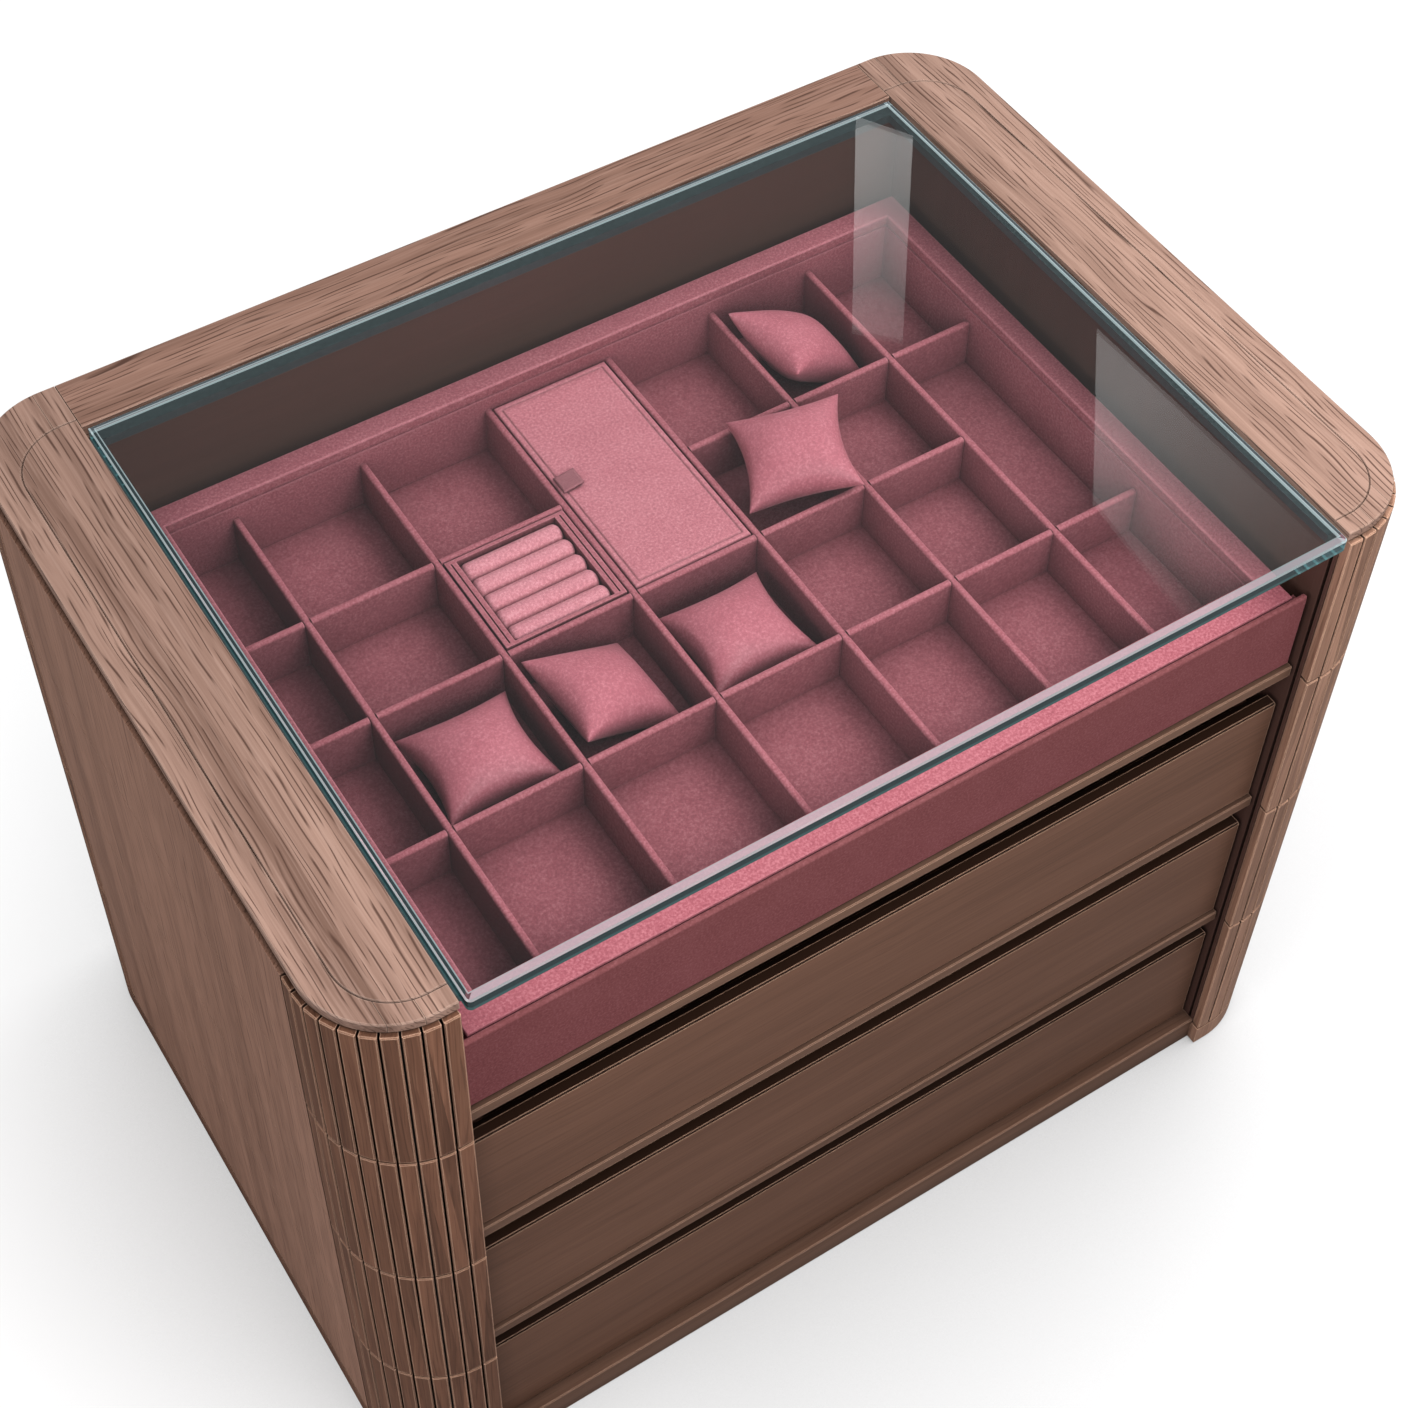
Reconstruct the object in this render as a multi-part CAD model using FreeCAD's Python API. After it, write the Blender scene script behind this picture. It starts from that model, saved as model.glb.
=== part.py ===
import FreeCAD
import Part
import math
import os

# Jewelry display cabinet. Millimetres, +Z up, front towards -Y, origin on the floor under the middle.

# Overall cabinet
cabinet_width = 910.0
cabinet_depth = 640.0
cabinet_height = 725.0
corner_radius = 72.0
flank_width = 85.0
fit_gap = 0.3

# Base of the flanks, plinths and glides
floor_gap = 2.0
base_top = 25.0
plinth_top = 31.0
plinth_thickness = 18.0
plinth_setback = 9.0
glide_diameter = 36.0
glide_stem_diameter = 8.0
glide_stem_length = 14.0
glide_hole_clearance = 0.4
glide_inset = 84.0

# Slatted corners
slat_count = 10
slat_pitch = 14.0
slat_gap = 1.7
slat_thickness = 8.6
slat_setback = 0.3
slat_bed = 9.0
slat_side_draft = 0.9
slat_arris = 0.9
band_groove = 3.0
band_count = 4

# Flank boards
side_panel_thickness = 12.0
side_groove_width = 1.8
side_groove_depth = 1.2
lining_thickness = 6.0
post_strip = 3.0
lining_shadow_gap = 3.0
subtop_thickness = 20.0
cap_shadow_gap = 2.0

# Top caps with their perimeter band
cap_thickness = 8.0
cap_inset = 4.0
band_width_side = 22.0
band_width_front = 16.0
band_width_back = 42.0
band_inner_radius = 46.0
band_front_joints = [23.0, 46.0]
band_back_joints = [18.0]
band_joint_gap = 0.3
cap_arris = 0.8

# Back rail and back panels
rail_depth = 51.0
rail_thickness = 18.0
back_panel_thickness = 12.0
back_panel_setback = 8.0
inner_back_setback = 69.0
inner_back_thickness = 8.0

# Glass top and its ledges
glass_thickness = 12.0
glass_side_gap = 4.0
glass_back_gap = 3.0
glass_corner_radius = 4.0
glass_arris = 1.2
ledge_height = 8.0
ledge_width = 10.0

# Shelves and their front rails
shelf_thickness = 12.0
shelf_rail_depth = 20.0
shelf_rail_setback = 17.0
shelf_rail_side_gap = 2.0
shelf_rail_arris = 1.0

# Wooden drawers
drawer_setback = 20.0
drawer_front_thickness = 18.0
drawer_front_side_gap = 4.0
drawer_front_bottom_gap = 2.0
finger_gaps = [37.0, 28.0, 25.0]
front_arris = 1.6
grip_bevel = 8.0
runner_room = 13.0
drawer_wall = 12.0
drawer_back_room = 102.0
drawer_box_height = 96.0
drawer_box_lift = 14.0
drawer_bottom_thickness = 6.0
drawer_bottom_lift = 8.0

# Runners
runner_end_gap = 10.0
runner_height = 28.0
runner_channel_depth = 9.0
runner_sheet = 1.5
runner_play = 0.4

# Display drawer
display_front_thickness = 14.0
display_front_lift = 4.0
display_lip_thickness = 5.0
display_lip_rise = 2.0
display_lip_round = 2.0
display_end_arris = 1.2
lip_seam_gap = 1.3
rim_over_dividers = 23.0
rim_thickness = 10.0
rim_side_width = 19.0
rim_back_width = 20.0
rim_front_width = 27.0
rim_arris = 1.0
rim_back_gap = 17.0
display_side_thickness = 12.0
liner_reveal = 1.5
display_floor_lift = 13.0
display_floor_thickness = 5.0

# Egg-crate of the display drawer
divider_thickness = 6.0
divider_height = 46.0
divider_round = 2.4
divider_seam_gap = 0.2

# Columns from left to right and rows from the back share the tray's length and width in these parts
column_parts = [54.5, 111.0, 114.0, 113.0, 102.0, 98.0, 80.5]
row_parts = [121.5, 106.0, 117.0, 133.2]
lid_column_index = 3
open_cell_column_index = 6
insert_column_index = 2
insert_row_index = 1
cushion_column_index = 1
cushion_row_index = 2

# Lid over two compartments, on two cleats
lid_thickness = 8.0
lid_clearance = 1.0
lid_edge_round = 2.0
cleat_width = 4.0
cleat_height = 5.0
tab_width = 17.0
tab_reach = 18.0
tab_thickness = 2.4
tab_from_back = 102.0
tab_from_side = 2.0

# Ring-roll insert
insert_clearance = 1.2
insert_side_wall = 9.0
insert_end_wall = 3.2
insert_floor = 22.0
insert_groove_width = 1.2
insert_groove_depth = 1.6
roll_count = 5
roll_gap = 0.6
roll_end_gap = 0.5

# Cushions: room round them in the cell that they are made for, and their form
cushion_side_room = 5.0
cushion_end_room = 10.0
cushion_half_height = 23.0
cushion_draw_in = 10.0
cushion_side_bend = 0.4
cushion_section_count = 9
cushion_lean = 78.0

# Where each cushion lies: its cell, how far it is off the cell's middle and over the floor, and its turns
cushion_places = {
    "a": {
        "column_index": 1, "row_index": 2, "offset": (-0.5, 0.5), "lift": 22.8,
        "turn": -1.0, "tip_x": 0.0, "tip_y": 0.0,
    },
    "b": {
        "column_index": 2, "row_index": 2, "offset": (-6.0, 1.5), "lift": 29.0,
        "turn": 3.0, "tip_x": 0.0, "tip_y": 24.0,
    },
    "c": {
        "column_index": 3, "row_index": 2, "offset": (-1.5, -1.5), "lift": 22.8,
        "turn": 0.0, "tip_x": 0.0, "tip_y": 0.0,
    },
    "d": {
        "column_index": 4, "row_index": 1, "offset": (14.0, -5.0), "lift": 57.6,
        "turn": -22.0, "tip_x": 8.0, "tip_y": -11.0,
    },
    "e": {
        "column_index": 5, "row_index": 0, "offset": (-2.0, -1.25), "lift": 33.1,
        "turn": 6.0, "tip_x": 0.0, "tip_y": 34.0,
    },
}

half_width = cabinet_width / 2
half_depth = cabinet_depth / 2
half_opening = half_width - flank_width
band_pitch = (cabinet_height - base_top) / band_count
display_shelf_top = cabinet_height - band_pitch + shelf_thickness / 2
cap_bottom = cabinet_height - cap_thickness
slat_top = cap_bottom - cap_shadow_gap
subtop_bottom = cap_bottom - subtop_thickness
glass_bottom = cabinet_height - glass_thickness
ledge_bottom = glass_bottom - ledge_height
flank_straight = half_width - corner_radius - half_opening
arc_length = math.pi / 2 * corner_radius
side_run = slat_count * slat_pitch - flank_straight - arc_length
arc_centre_y = -(half_depth - corner_radius)
seam_y = arc_centre_y + side_run
back_panel_back = half_depth - back_panel_setback
back_panel_front = back_panel_back - back_panel_thickness
inner_back_face = half_depth - inner_back_setback
rail_back = half_depth - cap_inset
rail_front = rail_back - rail_depth
glass_half = half_opening - glass_side_gap
glass_back = rail_front - glass_back_gap
shelf_rail_front = -half_depth + shelf_rail_setback
shelf_front = shelf_rail_front + shelf_rail_depth
drawer_front_face = -half_depth + drawer_setback
drawer_front_back = drawer_front_face + drawer_front_thickness
drawer_front_half = half_opening - drawer_front_side_gap
drawer_box_half = half_opening - runner_room
drawer_box_back = back_panel_front - drawer_back_room
runner_length = drawer_box_back - drawer_front_back - runner_end_gap
display_front_bottom = display_shelf_top + display_front_lift
display_floor_top = display_shelf_top + display_floor_lift
divider_top = display_floor_top + divider_height
rim_top = divider_top + rim_over_dividers
display_lip_top = rim_top + display_lip_rise
display_front_back = drawer_front_face + display_front_thickness
rim_half = drawer_box_half
rim_front = drawer_front_face + display_lip_thickness + lip_seam_gap
rim_back = inner_back_face - rim_back_gap
rim_bottom = rim_top - rim_thickness
rim_inner_half = rim_half - rim_side_width
rim_inner_front = rim_front + rim_front_width
rim_inner_back = rim_back - rim_back_width
well_half = rim_inner_half - liner_reveal
well_front = rim_inner_front + liner_reveal
well_back = rim_inner_back - liner_reveal
liner_half = rim_half - display_side_thickness
liner_back = rim_back - display_side_thickness
display_bottom = display_floor_top - display_floor_thickness

Vector = FreeCAD.Vector


def groove_level(number):
    """Height of the joint below band number, counted from the top, and of the shelf behind it."""
    return cabinet_height - number * band_pitch


def lines_between(start, end, parts):
    """Places of the dividers that share a length in the given parts."""
    made = []
    done = 0
    for part in parts[:-1]:
        done += part
        made.append(start + (end - start) * done / sum(parts))
    return made


column_lines = lines_between(-well_half, well_half, column_parts)
row_lines = lines_between(well_back, well_front, row_parts)


def block(x0, x1, y0, y1, z0, z1):
    return Part.makeBox(x1 - x0, y1 - y0, z1 - z0, Vector(x0, y0, z0))


def line(a, b):
    return Part.LineSegment(a, b).toShape()


def arc(a, middle, b):
    return Part.Arc(a, middle, b).toShape()


def polygon(points):
    return Part.Face(Part.makePolygon(points + [points[0]]))


def mirrored_x(shape):
    return shape.mirror(Vector(0, 0, 0), Vector(1, 0, 0))


def mirrored_y(shape):
    return shape.mirror(Vector(0, 0, 0), Vector(0, 1, 0))


def both_sides(shape):
    return [shape, mirrored_x(shape)]


def save(name, solids):
    shape = solids[0] if len(solids) == 1 else Part.makeCompound(solids)
    shape.exportStep(os.path.join("parts", name + ".step"))


def edges_where(shape, test):
    return [e for e in shape.Edges if all(test(v.Point) for v in e.Vertexes) and test(middle_of(e))]


def middle_of(edge):
    return edge.valueAt((edge.FirstParameter + edge.LastParameter) / 2)


def corner_arc(centre_x, centre_y, radius, from_deg, to_deg, z):
    """Quarter arc in plan, anticlockwise from one angle to the other."""
    def on_arc(deg):
        a = math.radians(deg)
        return Vector(centre_x + radius * math.cos(a), centre_y + radius * math.sin(a), z)
    return arc(on_arc(from_deg), on_arc((from_deg + to_deg) / 2), on_arc(to_deg))


def rounded_plan(x_in, x_out, y_front, y_back, radius, z):
    """Right-hand plan outline: straight inner edge, both outer corners rounded."""
    front_arc = corner_arc(x_out - radius, y_front + radius, radius, -90, 0, z)
    back_arc = corner_arc(x_out - radius, y_back - radius, radius, 0, 90, z)
    sides = [
        line(Vector(x_in, y_front, z), Vector(x_out - radius, y_front, z)),
        front_arc,
        line(Vector(x_out, y_front + radius, z), Vector(x_out, y_back - radius, z)),
        back_arc,
        line(Vector(x_out - radius, y_back, z), Vector(x_in, y_back, z)),
        line(Vector(x_in, y_back, z), Vector(x_in, y_front, z)),
    ]
    return Part.Face(Part.Wire(sides))


def slab(face, height):
    return face.extrude(Vector(0, 0, height))


# Flanks: base, posts, slats, side panel, lining and subtop

def flank_base():
    """Plain band that the flank stands on, drilled from below for its glides."""
    outline = rounded_plan(half_opening, half_width, -half_depth, half_depth, corner_radius, floor_gap)
    base = slab(outline, base_top - floor_gap)
    for x, y in glide_places():
        hole_radius = glide_stem_diameter / 2 + glide_hole_clearance
        base = base.cut(Part.makeCylinder(hole_radius, glide_stem_length, Vector(x, y, floor_gap)))
    return base


def glide_places():
    x = (half_opening + half_width) / 2
    y = half_depth - glide_inset
    return [(x, -y), (x, y)]


def glides():
    made = []
    for x, y in glide_places():
        pad = Part.makeCylinder(glide_diameter / 2, floor_gap, Vector(x, y, 0))
        stem_length = glide_stem_length - glide_hole_clearance
        stem = Part.makeCylinder(glide_stem_diameter / 2, stem_length, Vector(x, y, floor_gap))
        made.extend(both_sides(pad.fuse(stem).removeSplitter()))
    return made


def corner_core(z):
    """Plan of the solid corner behind the slats, rebated for the lining."""
    radius = corner_radius - slat_bed
    front = -half_depth + slat_bed
    outer = half_width - slat_bed
    strip_back = front + post_strip
    bed_x = half_opening + lining_thickness
    edges = [
        line(Vector(half_opening, front, z), Vector(outer - radius, front, z)),
        corner_arc(outer - radius, front + radius, radius, -90, 0, z),
        line(Vector(outer, front + radius, z), Vector(outer, seam_y, z)),
        line(Vector(outer, seam_y, z), Vector(bed_x, seam_y, z)),
        line(Vector(bed_x, seam_y, z), Vector(bed_x, strip_back, z)),
        line(Vector(bed_x, strip_back, z), Vector(half_opening, strip_back, z)),
        line(Vector(half_opening, strip_back, z), Vector(half_opening, front, z)),
    ]
    return Part.Face(Part.Wire(edges))


def corner_post():
    return slab(corner_core(base_top), subtop_bottom - base_top)


def subtop():
    """Board under the cap: the two corner plans and the bed between them."""
    end = slab(corner_core(subtop_bottom), subtop_thickness)
    side_bed = half_width - side_panel_thickness
    bed_x = half_opening + lining_thickness
    middle = block(bed_x, side_bed, seam_y, -seam_y, subtop_bottom, cap_bottom)
    return middle.fuse([end, mirrored_y(end)]).removeSplitter()


def outline_point(run):
    """Point on the body outline at a run from the opening, with its outward direction."""
    if run < flank_straight:
        return Vector(half_opening + run, -half_depth, 0), -90.0
    if run < flank_straight + arc_length:
        turn = (run - flank_straight) / corner_radius
        x = half_width - corner_radius + corner_radius * math.sin(turn)
        y = arc_centre_y - corner_radius * math.cos(turn)
        return Vector(x, y, 0), math.degrees(turn) - 90.0
    beyond = run - flank_straight - arc_length
    return Vector(half_width, arc_centre_y + beyond, 0), 0.0


def slat_block(z0, z1):
    """One length of slat, face at +X, tapered to the back, with an arris round its face."""
    half = (slat_pitch - slat_gap) / 2
    back_half = half - slat_side_draft
    face_x = -slat_setback
    plan = polygon([
        Vector(face_x, -half, z0),
        Vector(face_x, half, z0),
        Vector(face_x - slat_thickness, back_half, z0),
        Vector(face_x - slat_thickness, -back_half, z0),
    ])
    body = slab(plan, z1 - z0)
    face_edges = edges_where(body, lambda p: abs(p.x - face_x) < 1e-6)
    return body.makeChamfer(slat_arris, face_edges)


def band_spans():
    """Heights of each band of slats, from the top one down."""
    spans = []
    for number in range(band_count):
        top = slat_top if number == 0 else groove_level(number) - band_groove / 2
        bottom = groove_level(number + 1) + band_groove / 2
        spans.append((bottom, top))
    return spans


def corner_slats():
    made = []
    for bottom, top in band_spans():
        pattern = slat_block(bottom, top)
        for number in range(slat_count):
            place, outward = outline_point((number + 0.5) * slat_pitch)
            slat = pattern.copy()
            slat.rotate(Vector(0, 0, 0), Vector(0, 0, 1), outward)
            slat.translate(place)
            made.append(slat)
    return made


def flank_slats():
    front = corner_slats()
    return front + [mirrored_y(s) for s in front]


def side_panel():
    """Veneered panel between the slatted corners, with a V-joint at each band."""
    face = half_width - slat_setback
    bed = half_width - side_panel_thickness
    front = seam_y + slat_gap / 2
    bottom = base_top + band_groove / 2
    points = [Vector(bed, front, bottom), Vector(face, front, bottom)]
    for number in range(band_count - 1, 0, -1):
        level = groove_level(number)
        points.append(Vector(face, front, level - side_groove_width / 2))
        points.append(Vector(face - side_groove_depth, front, level))
        points.append(Vector(face, front, level + side_groove_width / 2))
    points.append(Vector(face, front, slat_top))
    points.append(Vector(bed, front, slat_top))
    return polygon(points).extrude(Vector(0, -2 * front, 0))


def lining():
    end = half_depth - slat_bed - post_strip - lining_shadow_gap
    return block(half_opening, half_opening + lining_thickness, -end, end, base_top, cap_bottom)


# Top caps, back rail and glass

def cap_outline(z):
    edge = half_width - cap_inset
    end = half_depth - cap_inset
    return rounded_plan(half_opening, edge, -end, end, corner_radius - cap_inset, z)


def field_outline(z, margin):
    """Outline of the inner field of the cap, grown by a margin."""
    edge = half_width - cap_inset - band_width_side + margin
    front = -half_depth + cap_inset + band_width_front - margin
    back = half_depth - cap_inset - band_width_back + margin
    return rounded_plan(half_opening, edge, front, back, band_inner_radius + margin, z)


def cap_field():
    field = slab(field_outline(cap_bottom, 0), cap_thickness)
    on_line = edges_where(field, lambda p: p.z > cabinet_height - 1e-6)
    outline_edges = [e for e in on_line if middle_of(e).x > half_opening + 1e-6]
    return field.makeChamfer(cap_arris, outline_edges)


def cap_band():
    """Perimeter band in three lengths: front, round both corners with the side, and back."""
    ring = slab(cap_outline(cap_bottom), cap_thickness)
    ring = ring.cut(slab(field_outline(cap_bottom, band_joint_gap), cap_thickness))
    top_edges = edges_where(ring, lambda p: p.z > cabinet_height - 1e-6)
    ring = ring.makeChamfer(cap_arris, [e for e in top_edges if middle_of(e).x > half_opening + 1e-6])
    front_joints = [(joint, -half_depth, 0) for joint in band_front_joints]
    back_joints = [(joint, 0, half_depth) for joint in band_back_joints]
    for joint, y0, y1 in front_joints + back_joints:
        x = half_opening + joint
        ring = ring.cut(block(x, x + band_joint_gap, y0, y1, cap_bottom, cabinet_height))
    return ring.Solids


def back_rail():
    half = half_opening - 2 * fit_gap
    rail = block(-half, half, rail_front, rail_back, cabinet_height - rail_thickness, cabinet_height)
    long_edges = edges_where(rail, lambda p: p.z > cabinet_height - 1e-6)
    long_edges = [e for e in long_edges if abs(e.Vertexes[0].X - e.Vertexes[1].X) > half]
    return rail.makeChamfer(cap_arris, long_edges)


def back_panel():
    top = cabinet_height - rail_thickness
    return block(-half_opening, half_opening, back_panel_front, back_panel_back, plinth_top, top)


def inner_back_panel():
    bottom = groove_level(1) + shelf_thickness / 2
    back = inner_back_face + inner_back_thickness
    return block(-half_opening, half_opening, inner_back_face, back, bottom, ledge_bottom)


def glass_top():
    glass = block(-glass_half, glass_half, -half_depth, glass_back, glass_bottom, cabinet_height)
    upright = [e for e in glass.Edges if abs(e.Vertexes[0].Z - e.Vertexes[1].Z) > 1]
    front_corners = [e for e in upright if e.Vertexes[0].Y < 0]
    glass = glass.makeFillet(glass_corner_radius, front_corners)
    rims = edges_where(glass, lambda p: p.z > cabinet_height - 1e-6)
    rims += edges_where(glass, lambda p: p.z < glass_bottom + 1e-6)
    return glass.makeChamfer(glass_arris, rims)


def glass_ledges():
    """Strips under the glass: one along each lining and one on the inner back panel."""
    front = -half_depth + slat_bed + post_strip + lining_shadow_gap
    inner = half_opening - ledge_width
    side = block(inner, half_opening, front, inner_back_face, ledge_bottom, glass_bottom)
    back = block(-half_opening, half_opening, inner_back_face, glass_back, ledge_bottom, glass_bottom)
    return both_sides(side) + [back]


# Shelves, plinths and runners

def shelves():
    made = []
    for number in range(1, band_count):
        z0 = groove_level(number) - shelf_thickness / 2
        top = z0 + shelf_thickness
        made.append(block(-half_opening, half_opening, shelf_front, back_panel_front, z0, top))
    return made


def shelf_rails():
    made = []
    half = half_opening - shelf_rail_side_gap
    for number in range(1, band_count):
        z0 = groove_level(number) - shelf_thickness / 2
        rail = block(-half, half, shelf_rail_front, shelf_front, z0, z0 + shelf_thickness)
        front_edges = edges_where(rail, lambda p: p.y < shelf_rail_front + 1e-6)
        long_edges = [e for e in front_edges if e.Length > half]
        made.append(rail.makeChamfer(shelf_rail_arris, long_edges))
    return made


def plinths():
    front = -half_depth + plinth_setback
    board = block(-half_opening, half_opening, front, front + plinth_thickness, floor_gap, plinth_top)
    top_front = edges_where(board, lambda p: p.z > plinth_top - 1e-6 and p.y < front + 1e-6)
    board = board.makeChamfer(shelf_rail_arris, top_front)
    return [board, mirrored_y(board)]


def bottom_board():
    front = -half_depth + plinth_setback + plinth_thickness
    z0 = plinth_top - shelf_thickness
    return block(-half_opening, half_opening, front, -front, z0, plinth_top)


def runner_level(number):
    """Middle height of the runners of drawer number; drawer 1 is the display drawer."""
    if number == 1:
        return (display_bottom + rim_bottom) / 2
    return drawer_bottom(number) + drawer_box_lift + drawer_box_height / 2


def channel(web_x, open_x, height, z_middle):
    """C-section along Y, from its web to its open side."""
    front = drawer_front_back
    sheet = runner_sheet if open_x > web_x else -runner_sheet
    half = height / 2
    points = [
        Vector(web_x, front, z_middle - half),
        Vector(open_x, front, z_middle - half),
        Vector(open_x, front, z_middle - half + runner_sheet),
        Vector(web_x + sheet, front, z_middle - half + runner_sheet),
        Vector(web_x + sheet, front, z_middle + half - runner_sheet),
        Vector(open_x, front, z_middle + half - runner_sheet),
        Vector(open_x, front, z_middle + half),
        Vector(web_x, front, z_middle + half),
    ]
    return polygon(points).extrude(Vector(0, runner_length, 0))


def fixed_runners():
    made = []
    for number in range(1, 5):
        open_x = half_opening - runner_channel_depth
        fixed = channel(half_opening, open_x, runner_height, runner_level(number))
        made.extend(both_sides(fixed))
    return made


def drawer_slides(number):
    height = runner_height - 2 * (runner_sheet + runner_play)
    reach = runner_room - runner_sheet - runner_play
    sliding = channel(drawer_box_half, drawer_box_half + reach, height, runner_level(number))
    return both_sides(sliding)


# Wooden drawers

def drawer_bottom(number):
    """Underside of the front of drawer 2, 3 or 4."""
    if number == 4:
        return plinth_top + drawer_front_bottom_gap
    return groove_level(number) + shelf_thickness / 2 + drawer_front_bottom_gap


def drawer_top(number):
    return groove_level(number - 1) - shelf_thickness / 2 - finger_gaps[number - 2]


def drawer_front(number):
    """Front with an arris on its face and a grip bevel behind its top edge."""
    z0 = drawer_bottom(number)
    z1 = drawer_top(number)
    face = drawer_front_face
    back = drawer_front_back
    x = -drawer_front_half
    profile = polygon([
        Vector(x, face, z0 + front_arris),
        Vector(x, face, z1 - front_arris),
        Vector(x, face + front_arris, z1),
        Vector(x, back - grip_bevel, z1),
        Vector(x, back, z1 - grip_bevel),
        Vector(x, back, z0),
        Vector(x, face + front_arris, z0),
    ])
    return profile.extrude(Vector(2 * drawer_front_half, 0, 0))


def drawer_box(number):
    """Two sides with the back between them."""
    z0 = drawer_bottom(number) + drawer_box_lift
    end = drawer_box_back
    inner = drawer_box_half - drawer_wall
    side = block(inner, drawer_box_half, drawer_front_back, end, z0, z0 + drawer_box_height)
    back = block(-inner, inner, end - drawer_wall, end, z0, z0 + drawer_box_height)
    return both_sides(side) + [back]


def drawer_floor(number):
    z0 = drawer_bottom(number) + drawer_box_lift + drawer_bottom_lift
    end = drawer_box_back - drawer_wall
    inner = drawer_box_half - drawer_wall
    return block(-inner, inner, drawer_front_back, end, z0, z0 + drawer_bottom_thickness)


# Display drawer

def display_front():
    """Covered front board: a rounded lip in front of a shoulder that the rim lies on."""
    x = -drawer_front_half
    face = drawer_front_face
    lip_back = face + display_lip_thickness
    z0 = display_front_bottom
    shoulder = display_lip_top - display_lip_round
    edges = crowned_top(face, lip_back, display_lip_top, display_lip_round, x)
    edges += [
        line(Vector(x, lip_back, shoulder), Vector(x, lip_back, rim_bottom)),
        line(Vector(x, lip_back, rim_bottom), Vector(x, display_front_back, rim_bottom)),
        line(Vector(x, display_front_back, rim_bottom), Vector(x, display_front_back, z0)),
        line(Vector(x, display_front_back, z0), Vector(x, face, z0)),
        line(Vector(x, face, z0), Vector(x, face, shoulder)),
    ]
    board = Part.Face(Part.Wire(edges)).extrude(Vector(2 * drawer_front_half, 0, 0))
    ends = edges_where(board, lambda p: abs(p.x) > drawer_front_half - 1e-6 and p.y < face + 1e-6)
    return board.makeChamfer(display_end_arris, ends)


def crowned_top(y0, y1, z1, radius, x):
    """Top of an upright section in YZ with both edges rounded, front to back."""
    bend = radius * (1 - math.sqrt(0.5))
    return [
        arc(Vector(x, y0, z1 - radius), Vector(x, y0 + bend, z1 - bend), Vector(x, y0 + radius, z1)),
        line(Vector(x, y0 + radius, z1), Vector(x, y1 - radius, z1)),
        arc(Vector(x, y1 - radius, z1), Vector(x, y1 - bend, z1 - bend), Vector(x, y1, z1 - radius)),
    ]


def display_rim():
    """Covered border of the tray in four mitred lengths with eased edges."""
    outer = [(-rim_half, rim_front), (rim_half, rim_front), (rim_half, rim_back), (-rim_half, rim_back)]
    inner = [(-rim_inner_half, rim_inner_front), (rim_inner_half, rim_inner_front)]
    inner += [(rim_inner_half, rim_inner_back), (-rim_inner_half, rim_inner_back)]
    made = []
    for i in range(4):
        j = (i + 1) % 4
        corners = [outer[i], outer[j], inner[j], inner[i]]
        bar = slab(polygon([Vector(x, y, rim_bottom) for x, y in corners]), rim_thickness)
        top = edges_where(bar, lambda p: p.z > rim_top - 1e-6)
        made.append(bar.makeChamfer(rim_arris, [e for e in top if e.Length > rim_inner_half]))
    return made


def display_box():
    side = block(liner_half, rim_half, display_front_back, rim_back, display_bottom, rim_bottom)
    back = block(-liner_half, liner_half, liner_back, rim_back, display_bottom, rim_bottom)
    return both_sides(side) + [back]


def display_liner():
    """Fabric-covered boards round the well, standing just proud of the rim's inner edge."""
    side = block(well_half, liner_half, display_front_back, liner_back, display_bottom, rim_bottom)
    front = block(-well_half, well_half, display_front_back, well_front, display_bottom, rim_bottom)
    back = block(-well_half, well_half, well_back, liner_back, display_bottom, rim_bottom)
    return both_sides(side) + [front, back]


def display_floor():
    return block(-well_half, well_half, well_front, well_back, display_bottom, display_floor_top)


def divider_section(middle_y, x):
    y0 = middle_y - divider_thickness / 2
    y1 = middle_y + divider_thickness / 2
    shoulder = divider_top - divider_round
    edges = crowned_top(y0, y1, divider_top, divider_round, x)
    edges += [
        line(Vector(x, y1, shoulder), Vector(x, y1, display_floor_top)),
        line(Vector(x, y1, display_floor_top), Vector(x, y0, display_floor_top)),
        line(Vector(x, y0, display_floor_top), Vector(x, y0, shoulder)),
    ]
    return Part.Face(Part.Wire(edges))


def cross_divider(middle_y, x0, x1):
    return divider_section(middle_y, x0).extrude(Vector(x1 - x0, 0, 0))


def long_divider(middle_x):
    length = well_back - well_front
    bar = divider_section(0, 0).extrude(Vector(length, 0, 0))
    bar.rotate(Vector(0, 0, 0), Vector(0, 0, 1), 90)
    bar.translate(Vector(middle_x, well_front, 0))
    return bar


def long_dividers():
    return [long_divider(x) for x in column_lines]


def column_span(column):
    """Clear width of a column, from one divider or wall to the next."""
    walls = [-well_half] + column_lines + [well_half]
    half = divider_thickness / 2
    left = walls[column] + (half if column > 0 else 0)
    right = walls[column + 1] - (half if column < len(column_lines) else 0)
    return left, right


def row_span(row):
    """Clear depth of a row, counted from the back."""
    walls = [well_back] + row_lines + [well_front]
    half = divider_thickness / 2
    back = walls[row] - (half if row > 0 else 0)
    front = walls[row + 1] + (half if row < len(row_lines) else 0)
    return front, back


def cross_dividers():
    """Short dividers between the long ones; two cells are left open to the next row."""
    made = []
    for row, y in enumerate(row_lines):
        for column in range(len(column_lines) + 1):
            under_lid = row == 0 and column == lid_column_index
            joined_cell = row == 1 and column == open_cell_column_index
            if under_lid or joined_cell:
                continue
            left, right = column_span(column)
            made.append(cross_divider(y, left + divider_seam_gap, right - divider_seam_gap))
    return made


def lid_span():
    """Plan of the lid between its two long dividers, from the second row to the back wall."""
    left, right = column_span(lid_column_index)
    front = row_lines[1] + divider_thickness / 2
    gap = lid_clearance
    return left + gap, right - gap, front + gap, well_back - gap


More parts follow.
